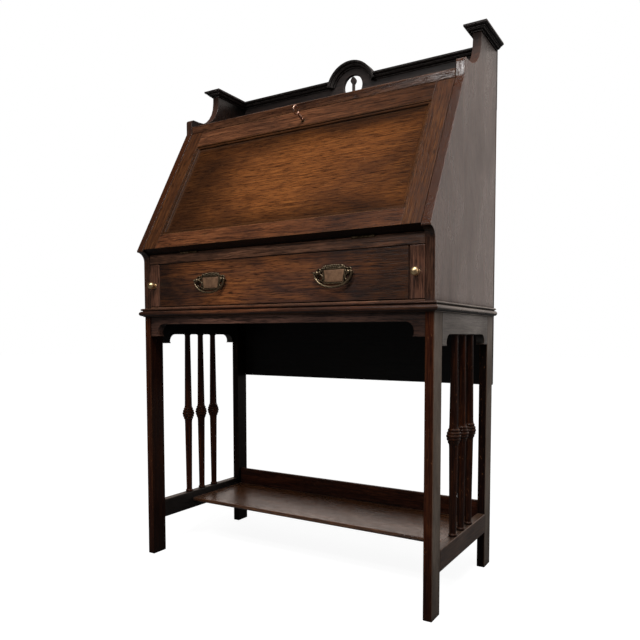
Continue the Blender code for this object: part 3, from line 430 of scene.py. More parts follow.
@dataclass(frozen=True)
class WornMetal:
    """Cast or turned metal that has tarnished in the hollows and been rubbed bright on the high places.

    Attributes:
        name: what the metal is.
        bright: colour where it is rubbed.
        tarnish: colour where it has darkened.
        roughness: mean roughness.
        tarnish_share: how much of the surface has darkened, 0 to 1.
        spot_mm: size of the tarnish spots.
        metallic: share of bare metal; the rest is a dull patina.
    """

    name: str
    bright: str
    tarnish: str
    roughness: float
    tarnish_share: float
    spot_mm: float
    metallic: float = 1.0

    EDGE_MM = 0.7
    HOLLOW_MM = 4.0
    PIT_MM = 0.2
    PITS_PER_SPOT = 3.0
    PIT_STRENGTH = 0.25
    # How much duller the tarnish is than the rubbed metal.
    DULL = 0.2
    # Gain and offset that make the open share of a hollow weigh on the spots.
    HOLLOW_GAIN = 0.75
    HOLLOW_OFFSET = -0.1
    # Share of the tarnish at which rubbing starts, and the level and share at which it is full.
    RUB_START = 0.5
    RUB_FULL = 0.3

    @cache
    def material(self) -> Material:
        """Make the node material of this metal, once."""
        material, tree, shader = new_material(self.name)
        place = add_node(tree, "TexCoord").outputs["Object"]
        scale = 1.0 / (self.spot_mm * MM)
        spot = add_node(tree, "TexNoise", {"Scale": scale, "Detail": 5.0, "Roughness": 0.65},
                        {"Vector": place})
        pit = add_node(tree, "TexNoise", {"Scale": self.PITS_PER_SPOT * scale, "Detail": 3.0},
                       {"Vector": place})
        hollow = add_node(tree, "AmbientOcclusion", {"samples": 6, "Distance": self.HOLLOW_MM * MM})
        weigh = {"operation": "MULTIPLY_ADD", 1: self.HOLLOW_GAIN, 2: self.HOLLOW_OFFSET}
        shade = add_node(tree, "Math", weigh, {0: hollow.outputs["AO"]})
        clean = add_node(tree, "Math", {"operation": "MULTIPLY"}, {0: shade, 1: spot})
        ends = {"From Min": self.RUB_START * self.tarnish_share,
                "From Max": self.RUB_FULL + self.RUB_FULL * self.tarnish_share}
        rub = add_node(tree, "MapRange", ends, {"Value": clean})
        colour = add_node(tree, "Mix", {"data_type": "RGBA", 6: linear(self.tarnish), 7: linear(self.bright)},
                          {"Factor": rub})
        gloss = add_node(tree, "MapRange", {"To Min": self.roughness + self.DULL, "To Max": self.roughness},
                         {"Value": rub})
        edge = add_node(tree, "Bevel", {"samples": 6, "Radius": self.EDGE_MM * MM})
        bump = add_node(tree, "Bump", {"Strength": self.PIT_STRENGTH, "Distance": self.PIT_MM * MM},
                        {"Height": pit, "Normal": edge})
        link(tree, shader, {"Base Color": colour, "Roughness": gloss, "Normal": bump})
        shader.inputs["Metallic"].default_value = self.metallic
        return material


Finish = StainedOak | WornMetal

# Degrees: edges flatter than this are shaded smooth on crisp mouldings.
CRISP = 28.0
# Cosine above which a face counts as looking a given way.
FACING = 0.9
# Points nearer than this are welded into one.
WELD = 0.005 * MM


def dress(finish: Finish, *nodes: str) -> None:
    """Give solids a finish.

    Args:
        finish: the finish.
        nodes: names of the solids.
    """
    for name in nodes:
        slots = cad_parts[name].material_slots
        for slot in slots:
            slot.material = finish.material()
        LOG.info("%s dressed in %s, slots %d", name, finish.name, len(slots))


def both(stem: str) -> tuple[str, str]:
    """Names of the left and the right piece of a pair."""
    return (f"{stem}_left", f"{stem}_right")


class Pick(Enum):
    """Kind of mesh element that a tool works on."""

    POINTS = "VERT"
    FACES = "FACE"


def start(name: str, add: Callable, **settings: object) -> Piece:
    """Add a primitive with nothing else selected.

    Args:
        name: name of the piece that it becomes.
        add: the operator that adds it.
        settings: size and place.

    Returns:
        The new object.
    """
    bpy.ops.object.select_all(action="DESELECT")
    add(**settings)
    piece = bpy.context.active_object
    piece.name = name
    piece.data.name = name
    return piece


def block(name: str, middle: Point, size: Point) -> Piece:
    """Add a box.

    Args:
        name: name of the piece.
        middle: its middle.
        size: its size.

    Returns:
        The box, at the origin in object mode.
    """
    return settle(start(name, bpy.ops.mesh.primitive_cube_add, size=1.0, location=middle, scale=size))


def pick(piece: Piece, kind: Pick, test: Callable) -> None:
    """Enter edit mode with only the elements that a test accepts.

    Args:
        piece: the active object.
        kind: points or faces.
        test: says of an element whether it is wanted.
    """
    bpy.ops.object.mode_set(mode="EDIT")
    bpy.ops.mesh.select_mode(type=kind.value)
    bpy.ops.mesh.select_all(action="DESELECT")
    bpy.ops.object.mode_set(mode="OBJECT")
    elements = piece.data.vertices if kind is Pick.POINTS else piece.data.polygons
    for element in elements:
        element.select = test(element)
    bpy.ops.object.mode_set(mode="EDIT")


def pick_all() -> None:
    """Enter edit mode with the whole mesh picked."""
    bpy.ops.object.mode_set(mode="EDIT")
    bpy.ops.mesh.select_all(action="SELECT")


def face_outwards() -> None:
    """Pick the whole mesh and turn its faces outwards."""
    pick_all()
    bpy.ops.mesh.normals_make_consistent(inside=False)


def extrude(move: Point) -> None:
    """Extrude what is picked along a move."""
    bpy.ops.mesh.extrude_region_move(TRANSFORM_OT_translate={"value": move})


def inset(steps: Steps) -> None:
    """Step the picked face inwards.

    Args:
        steps: width and rise of each step, in mm.
    """
    for width, rise in steps:
        bpy.ops.mesh.inset(thickness=width * MM, depth=rise * MM)


def settle(piece: Piece, place: Point = (0.0, 0.0, 0.0), turn: Point = (0.0, 0.0, 0.0)) -> Piece:
    """Turn and move a piece, and put that into its mesh.

    Args:
        piece: the piece, in any mode.
        place: how far it moves.
        turn: how far it turns about X, Y and Z.

    Returns:
        The same piece, in object mode, at the origin.
    """
    bpy.ops.object.mode_set(mode="OBJECT")
    bpy.ops.object.select_all(action="DESELECT")
    piece.select_set(True)
    bpy.context.view_layer.objects.active = piece
    bpy.ops.object.transform_apply(location=True, rotation=True, scale=True)
    piece.rotation_euler = turn
    piece.location = place
    bpy.ops.object.transform_apply(location=True, rotation=True, scale=True)
    return piece


def soften(piece: Piece, degrees: float = 40.0) -> Piece:
    """Shade a piece smooth across edges flatter than an angle."""
    settle(piece)
    bpy.ops.object.shade_smooth_by_angle(angle=math.radians(degrees))
    return piece


def copied(piece: Piece, name: str) -> Piece:
    """Copy a piece, in its place, with a mesh of its own.

    Args:
        piece: the piece.
        name: name of the copy.

    Returns:
        The copy.
    """
    twin = piece.copy()
    twin.data = piece.data.copy()
    twin.name = name
    twin.data.name = name
    bpy.context.scene.collection.objects.link(twin)
    return twin


def discard(*patterns: Piece) -> None:
    """Take away patterns that have been copied."""
    for pattern in patterns:
        bpy.data.objects.remove(pattern, do_unlink=True)


def joined(name: str, pieces: list[Piece]) -> Piece:
    """Join pieces into one object.

    Args:
        name: name of the whole.
        pieces: what goes into it.

    Returns:
        The whole.
    """
    bpy.ops.object.select_all(action="DESELECT")
    for piece in pieces:
        piece.select_set(True)
    bpy.context.view_layer.objects.active = pieces[0]
    bpy.ops.object.join()
    pieces[0].name = name
    pieces[0].data.name = name
    return pieces[0]


def in_metres(points: Steps) -> Profile:
    """Turn a profile in millimetres into metres."""
    return [(across * MM, up * MM) for across, up in points]


def drawn(name: str, profile: Profile) -> Piece:
    """Draw a profile in the XZ plane, point by point.

    Args:
        name: name of the piece.
        profile: distance from Z and height of each point, in order.

    Returns:
        The chain of edges, in edit mode and picked.
    """
    piece = start(name, bpy.ops.mesh.primitive_plane_add, size=MM)
    bpy.ops.object.mode_set(mode="EDIT")
    bpy.ops.mesh.select_mode(type=Pick.POINTS.value)
    bpy.ops.mesh.select_all(action="SELECT")
    bpy.ops.mesh.merge(type="CENTER")
    bpy.ops.transform.translate(value=(profile[0][0], 0.0, profile[0][1]))
    for (across, height), (next_across, next_height) in zip(profile, profile[1:]):
        extrude((next_across - across, 0.0, next_height - height))
    bpy.ops.mesh.select_all(action="SELECT")
    return piece


def run_of(name: str, section: Profile, length: float) -> Piece:
    """Make a straight run of moulding that faces +X and goes along +Y from the origin.

    Args:
        name: name of the piece.
        section: reach and height of each point, from the foot of its back to the head of its back.
        length: length of the run.

    Returns:
        The closed run.
    """
    piece = drawn(name, section)
    bpy.ops.mesh.edge_face_add()
    extrude((0.0, length, 0.0))
    face_outwards()
    return settle(piece)


def sawn(piece: Piece, place: Point, away: Point) -> Piece:
    """Saw off a piece along a plane.

    Args:
        piece: the piece.
        place: a point of the plane.
        away: way to the side that falls off.

    Returns:
        What is left, closed and in object mode.
    """
    pick_all()
    bpy.ops.mesh.bisect(plane_co=place, plane_no=away, use_fill=True, clear_outer=True)
    return soften(piece, CRISP)


def turned(name: str, profile: Profile, sides: int) -> Piece:
    """Turn a profile about Z, as on a lathe.

    Args:
        name: name of the piece.
        profile: radius and height of each point, from one end to the other.
        sides: number of sides round the piece.

    Returns:
        The turned piece, standing on the profile's own heights.
    """
    piece = drawn(name, profile)
    bpy.ops.mesh.spin(steps=sides, angle=2.0 * math.pi, center=(0.0, 0.0, 0.0), axis=(0.0, 0.0, 1.0))
    bpy.ops.mesh.select_all(action="SELECT")
    bpy.ops.mesh.remove_doubles(threshold=WELD)
    bpy.ops.mesh.normals_make_consistent(inside=False)
    return soften(piece)


def stepped(name: str, levels: list[tuple[float, float, float, float, float]]) -> Piece:
    """Raise a moulded block from a plane, level by level.

    Args:
        name: name of the piece.
        levels: low x, high x, low y, high y and height of each level, from the foot up.

    Returns:
        The closed block.
    """
    centres = [Vector(((a + b) / 2.0, (c + d) / 2.0, height)) for a, b, c, d, height in levels]
    sizes = [(b - a, d - c) for a, b, c, d, _ in levels]
    piece = settle(start(name, bpy.ops.mesh.primitive_plane_add, size=1.0, location=centres[0]))
    pick(piece, Pick.FACES, lambda part: True)
    bpy.ops.transform.resize(value=(*sizes[0], 1.0), center_override=centres[0])
    for index in range(1, len(levels)):
        extrude(centres[index] - centres[index - 1])
        grow = [now / before for now, before in zip(sizes[index], sizes[index - 1])]
        bpy.ops.transform.resize(value=(*grow, 1.0), center_override=centres[index])
    face_outwards()
    return soften(piece, CRISP)


def half_round(radius: float, low: float, high: float, swell: float, steps: int = 7) -> Profile:
    """Profile of a turned bead between two heights.

    Args:
        radius: radius at the bead's foot.
        low: lower end.
        high: upper end.
        swell: how far it stands out.
        steps: number of points.

    Returns:
        Points from low to high.
    """
    angles = [math.pi * step / (steps - 1) for step in range(steps)]
    middle = (low + high) / 2.0
    half = (high - low) / 2.0
    return [(radius + swell * math.sin(angle), middle - half * math.cos(angle)) for angle in angles]


def fit(piece: Piece, finish: Finish, body: str, slot: str, *nodes: str) -> None:
    """Give a finished piece its finish, its body and the solids that it stands for.

    Args:
        piece: the piece.
        finish: its finish.
        body: the body that it moves with.
        slot: the record's material slot; not used.
        nodes: the solids that it replaces.
    """
    piece.data.materials.clear()
    piece.data.materials.append(finish.material())
    if nodes:
        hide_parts(*nodes)
    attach(piece, body)
    LOG.info("%s made, faces %d, rides on %s", piece.name, len(piece.data.polygons), body)


# Legs: the border is painted shadow, darkest at the top beneath the waist and darker towards the foot; the
# pale grey side colour is painted sheen, and the inward faces get painted shade.
LEG_OAK = StainedOak(
    "leg oak", Grain.UPRIGHT, "#2a0f06", "#3d190b", "#522b15", rubbed="#8a5834", roughness=0.4,
    streak_mm=3.4, ior=1.2, scuff=0.5, inner=0.3, pores=0.45, side_sheen="#82766a",
    border=DarkBorder((0.0, 0.0, 0.38), (10.0, 1.0, 0.36), 0.35, 0.5))
SPINDLE_OAK = replace(
    LEG_OAK, name="spindle oak", dark="#1a0803", middle="#3a170b", light="#5c2f18", roughness=0.3,
    ior=1.24, inner=0.8, side_sheen=None)
# The side rails and stretchers keep little light on their inward faces: painted shade.
RAIL_OAK = StainedOak(
    "side rail oak", Grain.ALONG_DEPTH, "#28231d", "#423e36", "#575147", streak_mm=4.0, ior=1.5,
    inner=0.08)
SHELF_OAK = StainedOak(
    "shelf oak", Grain.ALONG_FRONT, "#2a160c", "#58361f", "#70482c", roughness=0.19, streak_mm=4.0,
    ior=1.78)
# The pale grey edge colour of the black cornice paints the highlights along its steps and beads.
CORNICE_OAK = StainedOak(
    "cornice oak", Grain.ALONG_FRONT, "#0c0a09", "#181413", "#241d1a", rubbed="#7c7470", roughness=0.5,
    ior=1.3, edge_mm=0.8, rub=2.4, scuff=0.1)
INNER_OAK = StainedOak(
    "bare inner oak", Grain.ALONG_FRONT, "#5a3c24", "#7b5838", "#98744e", patch="#4a3220", patch_share=0.4,
    rubbed="#a08058", roughness=0.6, corner_wax_and_shade=0.4)
FALL_OAK = StainedOak(
    "fall rail oak", Grain.ALONG_FRONT, "#2c180e", "#623b25", "#784d32", rubbed="#96683f", patch="#2c1810",
    patch_share=0.7, patch_mm=260.0, streak_mm=3.6, ior=1.28,
    border=DarkBorder((-0.25, 0.0, 1.05), (0.55, 1.0, 1.0), 0.35, 0.65))


@dataclass
class Stand:
    """Open stand: legs, aprons, stretchers, shelf and turned spindles."""

    leg: StainedOak = LEG_OAK
    # Painted shade: the back legs stand in the shade of the case, so they take a darker copy of the leg
    # finish.
    shaded_back_leg: StainedOak = replace(
        LEG_OAK, name="shaded back leg oak", dark="#090302", middle="#140805", light="#28130b")
    spindle: StainedOak = SPINDLE_OAK
    shaded_spindle: StainedOak = replace(
        SPINDLE_OAK, name="shaded spindle oak", dark="#100502", middle="#280f05", light="#42200c")
    stretcher: StainedOak = replace(
        RAIL_OAK, name="stretcher oak", dark="#271a12", middle="#453226", light="#5b4332", ior=1.4)
    upstand: StainedOak = replace(
        SHELF_OAK, name="upstand oak", dark="#1e0d06", middle="#38190d", light="#4e2816", roughness=0.35,
        ior=1.25)
    rail: StainedOak = RAIL_OAK
    shelf: StainedOak = SHELF_OAK
    shade: StainedOak = StainedOak(
        "shaded back oak", Grain.ALONG_FRONT, "#060404", "#0e0b09", "#17120f", rubbed="#1c1410",
        roughness=0.5)
    # The apron's border paints the fall-off of light: a sheen in the middle, darker towards both ends.
    apron: StainedOak = StainedOak(
        "apron oak", Grain.ALONG_FRONT, "#38211a", "#805848", "#966a58",
        border=DarkBorder((-0.05, 0.0, 0.55), (0.34, 1.0, 1.0), 0.3, 0.75))
    spindle_sides: int = 36
    end_radius: float = 7.2 * MM
    swell_radius: float = 9.2 * MM
    neck_radius: float = 10.8 * MM
    ball_radius: float = 15.4 * MM
    ball_half: float = 15.0 * MM
    # Power by which the ball falls away from its middle to its necks.
    ball_fall: float = 1.6
    cove: float = 14.0 * MM
    cove_steps: int = 6
    # Share of a full quarter round that the cove takes.
    cove_share: float = 0.96
    foot_ring: float = 6.0 * MM
    reeds: int = 5
    reed_swell: float = 1.5 * MM
    head_radius: float = 7.0 * MM
    head_flare: float = 4.0 * MM
    seat: float = 0.3 * MM

    # Shares of the flare's height at which the head's profile has its points.
    HEAD_STEPS = (0.0, 0.3, 0.55, 0.75, 0.9)

    def build(self) -> None:
        """Dress the stand's solids and turn its spindles."""
        dress(self.leg, *both("leg_front"))
        dress(self.shaded_back_leg, *both("leg_back"))
        self.add_spindles()
        dress(self.rail, *both("side_apron"))
        dress(self.stretcher, *both("side_stretcher"))
        dress(self.shelf, "lower_shelf")
        dress(self.upstand, "shelf_upstand")
        dress(self.shade, "kneehole_back")
        dress(self.apron, "front_apron")

    def spindle_profile(self, half: float) -> Profile:
        """Profile of a spindle: foot ring, taper, cove, reeded ball, cove, taper and flared head.

        Args:
            half: half its length.

        Returns:
            Points from the foot to the head.
        """
        flare: Profile = []
        for step in range(self.cove_steps + 1):
            along = step / self.cove_steps
            out = 1.0 - math.sqrt(1.0 - along ** 2 * self.cove_share)
            flare.append((self.swell_radius + (self.neck_radius - self.swell_radius) * out,
                          -self.ball_half - self.cove * (1.0 - along)))
        ball: Profile = []
        reed = 2.0 * self.ball_half / self.reeds
        for number in range(self.reeds):
            low = number * reed - self.ball_half
            fall = abs((low + reed / 2.0) / self.ball_half) ** self.ball_fall
            root = self.ball_radius - self.reed_swell - (self.ball_radius - self.neck_radius) * fall
            ball += half_round(root, low, low + reed, self.reed_swell)
        head = [(radius, -height) for radius, height in reversed(flare)]
        foot = half_round(self.end_radius, -half, self.foot_ring - half, self.swell_radius - self.end_radius)
        top = [(self.head_radius + self.head_flare * (1.0 - math.sqrt(1.0 - share ** 2)),
                half - self.head_flare * (1.0 - share)) for share in self.HEAD_STEPS]
        return [(0.0, -half)] + foot + flare + ball + head + top + [(top[-1][0], half), (0.0, half)]

    def add_spindles(self) -> None:
        """Turn a spindle and set a copy in each place; those on the right get a darker finish, painted shade.
        """
        low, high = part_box("spindle_left_1")
        half = (high[2] - low[2]) / 2.0 + self.seat
        pattern = turned("spindle", self.spindle_profile(half), self.spindle_sides)
        for side, oak in (("left", self.spindle), ("right", self.shaded_spindle)):
            for number in (1, 2, 3):
                node = f"spindle_{side}_{number}"
                low, high = (Vector(corner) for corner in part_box(node))
                piece = settle(copied(pattern, f"turned_{node}"), tuple((low + high) / 2.0))
                fit(piece, oak, "case", "dark_oak", node)
        discard(pattern)


@dataclass
class Case:
    """Case: ends, boards, waist moulding, inner oak and pigeonholes."""

    # The ends' border paints shade at their tops beneath the caps, and their inward faces get painted shade.
    end: StainedOak = StainedOak(
        "end oak", Grain.UPRIGHT, "#2c1d17", "#452b20", "#573a2b", rubbed="#7a5238", roughness=0.27,
        patch="#2a1b14", streak_mm=4.0, border=DarkBorder((0.0, 0.0, 0.8), (10.0, 1.0, 0.4), 0.74, 0.7),
        inner=0.22, sloped="#401c04", hollow="#42210f")
    board: StainedOak = StainedOak(
        "case board oak", Grain.ALONG_FRONT, "#2a170f", "#553523", "#6c4630", rubbed="#7c5338",
        patch_share=0.6, roughness=0.2, ior=1.28)
    bed: StainedOak = StainedOak(
        "writing bed oak", Grain.ALONG_FRONT, "#2e1a11", "#7a5038", "#92644a", rubbed="#8a5c3e",
        patch_share=0.6, corner_wax_and_shade=0.4)
    moulding: StainedOak = StainedOak(
        "waist oak", Grain.ALONG_FRONT, "#240f07", "#522a16", "#6a3f26", rubbed="#a0704c", edge_mm=0.9,
        rub=1.2, underside_shade=0.4, border=DarkBorder((-0.2, 0.0, 0.6), (0.55, 1.0, 1.0), 0.4, 0.55))
    # The pale grey edge colour of the side waist mouldings paints the highlights on their beads and fillets.
    side_moulding: StainedOak = StainedOak(
        "side waist oak", Grain.ALONG_DEPTH, "#281c16", "#50433a", "#665a4d", rubbed="#c4b6a6",
        roughness=0.27, edge_mm=0.8, rub=1.3, underside_shade=0.16)
    inner: StainedOak = INNER_OAK
    runner: StainedOak = replace(INNER_OAK, name="bare runner oak", grain=Grain.ALONG_DEPTH)
    back: StainedOak = StainedOak(
        "back board oak", Grain.UPRIGHT, "#2a1c13", "#4a3323", "#604632", rubbed="#5c4330",
        patch="#241811", patch_share=0.6, roughness=0.55, streak_mm=5.0)
    waist_seat: float = 380.3 * MM
    waist_face: float = -176.2 * MM
    waist_back: float = 188.1 * MM
    waist_foot: float = 589.0 * MM
    waist_reach: float = 10.0 * MM
    planks: int = 6
    plank_ease: float = 1.4 * MM

    # Reach and height in mm of the waist's section: fillet, half round, quirk, small half round, fillet.
    WAIST = ((0.0, 0.0), (2.5, 0.0), (2.5, 1.8), (4.5, 1.9), (6.7, 2.5), (8.5, 3.8), (9.6, 5.6), (10.0, 7.5),
             (9.6, 9.4), (8.5, 11.2), (6.7, 12.5), (4.5, 13.1), (3.2, 13.3), (3.2, 14.5), (4.5, 14.7),
             (5.8, 15.1), (6.7, 16.1), (7.0, 17.2), (6.7, 18.3), (5.8, 19.2), (4.5, 19.6), (3.4, 19.7),
             (3.4, 20.0), (0.0, 20.0))

    def build(self) -> None:
        """Dress the case's solids, run its waist moulding and board its back."""
        dress(self.end, *both("end"))
        dress(self.board, "top_board", "fall_stop_rail")
        dress(self.bed, "bottom_board", "writing_bed")
        self.add_waist()
        dress(self.inner, "pigeonhole_rack")
        dress(self.runner, *both("drawer_partition"))
        self.add_back()

    def add_waist(self) -> None:
        """Run the waist moulding round the front and both sides, mitred at the front corners."""
        section = in_metres(self.WAIST)
        corner = self.waist_seat + self.waist_reach
        front = settle(run_of("moulded_waist_front", section, 2.0 * corner),
                       (-corner, self.waist_face, self.waist_foot), (0.0, 0.0, -QUARTER))
        for hand, _ in HANDS:
            sawn(front, (hand * self.waist_seat, self.waist_face, 0.0), (hand, 1.0, 0.0))
        fit(front, self.moulding, "case", "black_oak", "waist_moulding_front")
        depth = self.waist_back - self.waist_face + self.waist_reach
        ends = ((self.waist_back, math.pi), (self.waist_face - self.waist_reach, 0.0))
        for (hand, side), (start_y, turn) in zip(HANDS, ends):
            piece = settle(run_of(f"moulded_waist_{side}", section, depth),
                           (hand * self.waist_seat, start_y, self.waist_foot), (0.0, 0.0, turn))
            sawn(piece, (hand * self.waist_seat, self.waist_face, 0.0), (-hand, -1.0, 0.0))
            fit(piece, self.side_moulding, "case", "black_oak", f"waist_moulding_{side}")

    def add_back(self) -> None:
        """Board the back with upright planks whose edges are eased."""
        low, high = (Vector(corner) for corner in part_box("back_board"))
        size = high - low
        width = size.x / self.planks
        plank = block("plank", (low.x + width / 2.0, *((low + high) / 2.0).yz), (width, size.y, size.z))
        ease = plank.modifiers.new("eased edges", "BEVEL")
        ease.width = self.plank_ease
        ease.segments = 2
        bpy.ops.object.modifier_apply(modifier=ease.name)
        soften(plank)
        row = [plank]
        for number in range(1, self.planks):
            row.append(settle(copied(plank, "plank"), (number * width, 0.0, 0.0)))
        fit(joined("boarded_back", row), self.back, "case", "black_oak", "back_board")


@dataclass
class Gallery:
    """Gallery board, caps and cornice."""

    cornice: StainedOak = CORNICE_OAK
    # Like the cornice, the caps' pale grey edge colour paints highlights along their steps.
    cap: StainedOak = replace(
        CORNICE_OAK, name="cap oak", grain=Grain.ALONG_DEPTH, dark="#121010", middle="#241f1e",
        light="#342c2a", rubbed="#9a928e")
    board: StainedOak = StainedOak(
        "gallery oak", Grain.ALONG_FRONT, "#120c0a", "#261b17", "#3a2a24", rubbed="#3d2b22", roughness=0.5)
    inside: float = 361.0 * MM
    half: float = 380.0 * MM
    neck_front: float = 76.8 * MM
    back: float = 188.1 * MM
    foot: float = 1197.8 * MM
    height: float = 14.5 * MM
    arch_radius: float = 71.0 * MM
    arch_centre: float = 1182.3 * MM
    arch_sides: int = 96
    lap: float = 0.6 * MM
    gap: float = 0.3 * MM

    # Reach and height in mm of the cornice's section: twice a fillet and a quarter round, then a square edge.
    SECTION = ((2.5, 0.0), (2.5, 2.4), (5.0, 2.6), (6.6, 3.1), (7.6, 4.2), (7.8, 5.6), (10.0, 5.8),
               (10.0, 7.9), (11.6, 8.1), (13.0, 8.6), (13.9, 9.4), (14.2, 10.4), (16.5, 10.6), (16.5, 14.5))

    def build(self) -> None:
        """Dress the gallery board and mould the caps and the cornice."""
        dress(self.board, "gallery_board")
        self.add_caps()
        self.add_cornice()

    def add_caps(self) -> None:
        """Mould the cap of each end, which swells over its front and both its sides."""
        for hand, side in HANDS:
            low, high = sorted((hand * self.inside, hand * self.half))
            levels = [(low - out, high + out, self.neck_front - out, self.back, self.foot + up)
                      for out, up in in_metres(self.SECTION)]
            fit(stepped(f"moulded_cap_{side}", levels), self.cap, "case", "black_oak", f"cap_{side}")

    def add_cornice(self) -> None:
        """Mould the cornice: a rim turned over the arch and a straight length on each side of it."""
        section = in_metres(self.SECTION)
        inner = self.arch_radius - self.height
        ring = [(inner + up, out) for out, up in section]
        ring += [(inner + self.height, 0.0), (inner, 0.0), ring[0]]
        rim = settle(turned("rim", ring, self.arch_sides), (0.0, self.back - self.lap, self.arch_centre),
                     (QUARTER, 0.0, 0.0))
        pieces = [sawn(rim, (0.0, 0.0, self.foot + self.lap), (0.0, 0.0, -1.0))]
        near = self.arch_radius - self.height / 2.0
        for hand, _ in HANDS:
            levels = []
            for out, up in section:
                low, high = sorted((hand * near, hand * (self.inside - out - self.gap)))
                levels.append((low, high, self.back - out, self.back, self.foot + up))
            pieces.append(stepped("run", levels))
        fit(joined("moulded_cornice", pieces), self.cornice, "case", "black_oak", "gallery_moulding")


@dataclass
class Fall:
    """Fall with its frame, panel, hinges, lock and key."""

    stile: StainedOak = StainedOak(
        "stile oak", Grain.UP_THE_FALL, "#281407", "#4e2c16", "#643e20", rubbed="#24120a", patch="#3a2116",
        patch_share=0.7, streak_mm=3.0, ior=1.26, edge_mm=1.3, rub=1.4, scuff=0.2)
    rail: StainedOak = FALL_OAK
    foot_rail: StainedOak = replace(
        FALL_OAK, name="fall foot rail oak", dark="#28150d", middle="#643920", light="#7a4a2c",
        border=DarkBorder((-0.15, 0.0, 0.8), (0.6, 1.0, 1.0), 0.4, 0.45))
    # The panel's border is painted shade where the frame shades its edges, and its strong corner darkening
    # adds painted shade in the recess along with waxed grime.
    panel: StainedOak = StainedOak(
        "panel oak", Grain.ALONG_FRONT, "#41220e", "#73421f", "#8a5428", rubbed="#946640", patch="#3e2214",
        patch_share=0.7, patch_mm=300.0, corner_wax_and_shade=0.9, streak_mm=2.5, ior=1.2,
        border=DarkBorder((0.05, 0.0, 0.897), (0.306, 1.0, 0.114), 0.42, 0.68))
    brass: WornMetal = WornMetal("tarnished brass", "#b09a78", "#54432f", 0.4, 0.55, 5.0)
    steel: WornMetal = WornMetal("key steel", "#c09a86", "#5a3a30", 0.25, 0.35, 4.0)
    hinge: Point = (0.0, -0.1764021, 0.738)
    panel_half: float = 320.5 * MM
    panel_low: float = 41.3 * MM
    panel_high: float = 312.0 * MM
    panel_back: float = 0.3 * MM
    panel_face: float = 22.7 * MM
    # Degrees: edges of the panel's border flatter than this are shaded smooth.
    panel_shading: float = 34.0
    key_level: float = 326.3112 * MM
    key_radius: float = 2.2 * MM
    key_foot: float = 4.3 * MM
    key_sides: int = 24
    bow_height: float = 56.0 * MM
    bow_radius: float = 9.5 * MM
    bow_wire: float = 1.8 * MM
    # How much stouter the far half of the bow is.
    bow_swell: float = 0.4 * MM
    bit_reach: float = 6.5 * MM
    bit_low: float = 3.9 * MM
    bit_height: float = 3.5 * MM
    face: float = 23.0 * MM
    ring_sides: int = 32
    hinge_offset: float = 230.0 * MM
    screw_radius: float = 2.6 * MM
    screw_height: float = 0.5 * MM
    screw_pitch: float = 17.0 * MM
    screw_inset: float = 16.0 * MM
    slot_half: float = 0.4 * MM
    slot_depth: float = 0.4 * MM

    # Width and drop in mm of each step of the panel's border: fillet, quirk, quarter round, cove, field.
    BORDER_STEPS = ((2.6, 0.0), (0.3, -1.7), (1.0, 0.5), (1.2, 0.1), (1.3, -0.5), (1.1, -1.0), (0.8, -1.5),
                    (0.3, -1.2), (0.5, -0.1), (1.6, -1.3), (2.2, -0.9), (2.3, -0.4))
    # Low end, high end and swell in mm of the collars on the key's shank.
    COLLARS = ((29.0, 31.0, 1.2), (33.0, 37.5, 1.4), (39.0, 41.0, 1.0))
    # Width and drop in mm of the step in the end of the key's bit.
    BIT_STEP = ((0.4, -0.6),)
    # Radius, and height over the rail in mm, round the section of the ring at the key.
    RING = ((3.0, 0.0), (5.2, 0.0), (4.9, 0.6), (3.5, 0.6), (3.0, 0.0))

    def build(self) -> None:
        """Dress the fall's solids and model its panel, key and escutcheon."""
        dress(self.stile, *both("fall_stile"))
        dress(self.rail, "fall_top_rail")
        dress(self.foot_rail, "fall_bottom_rail")
        dress(self.brass, *both("hinge_bed_leaf"), *both("hinge_fall_leaf"), "lock_case")
        dress(self.steel, "lock_bolt")
        self.add_panel()
        self.add_key()
        self.add_escutcheon()
        self.add_screws()

    def on_fall(self, piece: Piece) -> Piece:
        """Lay a piece modelled along and out from the hinge axis on the shut fall."""
        return settle(piece, self.hinge, (FALL_SLOPE, 0.0, 0.0))

    def add_panel(self) -> None:
        """Mould the panel's border out of a board, step by step inwards."""
        middle = (0.0, (self.panel_low + self.panel_high) / 2.0, (self.panel_back + self.panel_face) / 2.0)
        size = (2.0 * self.panel_half, self.panel_high - self.panel_low, self.panel_face - self.panel_back)
        piece = block("moulded_panel", middle, size)
        pick(piece, Pick.FACES, lambda part: part.normal.z > FACING)
        inset(self.BORDER_STEPS)
        self.on_fall(soften(piece, self.panel_shading))
        fit(piece, self.panel, "fall", "golden_oak", "fall_panel")

    def add_key(self) -> None:
        """Make the key: a turned shank with collars, a bit and a ring bow."""
        radius = self.key_radius
        neck = self.bow_height - self.bow_radius
        profile = [(0.0, self.key_foot), (radius, self.key_foot)]
        for low, high, swell in self.COLLARS:
            profile += half_round(radius, low * MM, high * MM, swell * MM)
        shank = turned("key_shank", profile + [(radius, neck), (0.0, neck)], self.key_sides)
        bit = block("key_bit", (0.0, -self.bit_reach / 2.0, self.bit_low + self.bit_height / 2.0),
                    (radius, self.bit_reach, self.bit_height))
        pick(bit, Pick.FACES, lambda part: part.normal.y < -FACING)
        inset(self.BIT_STEP)
        soften(bit)
        bow = start("key_bow", bpy.ops.mesh.primitive_torus_add, major_radius=self.bow_radius,
                    minor_radius=self.bow_wire, major_segments=40, minor_segments=14,
                    location=(0.0, 0.0, self.bow_height), rotation=(0.0, QUARTER, 0.0))
        settle(bow)
        pick(bow, Pick.POINTS, lambda point: point.co.z > self.bow_height + self.bow_radius / 2.0)
        bpy.ops.transform.shrink_fatten(value=self.bow_swell)
        soften(bow)
        key = joined("turned_key", [shank, bit, bow])
        self.on_fall(settle(key, (0.0, self.key_level, 0.0)))
        fit(key, self.steel, "key", "steel", "key")

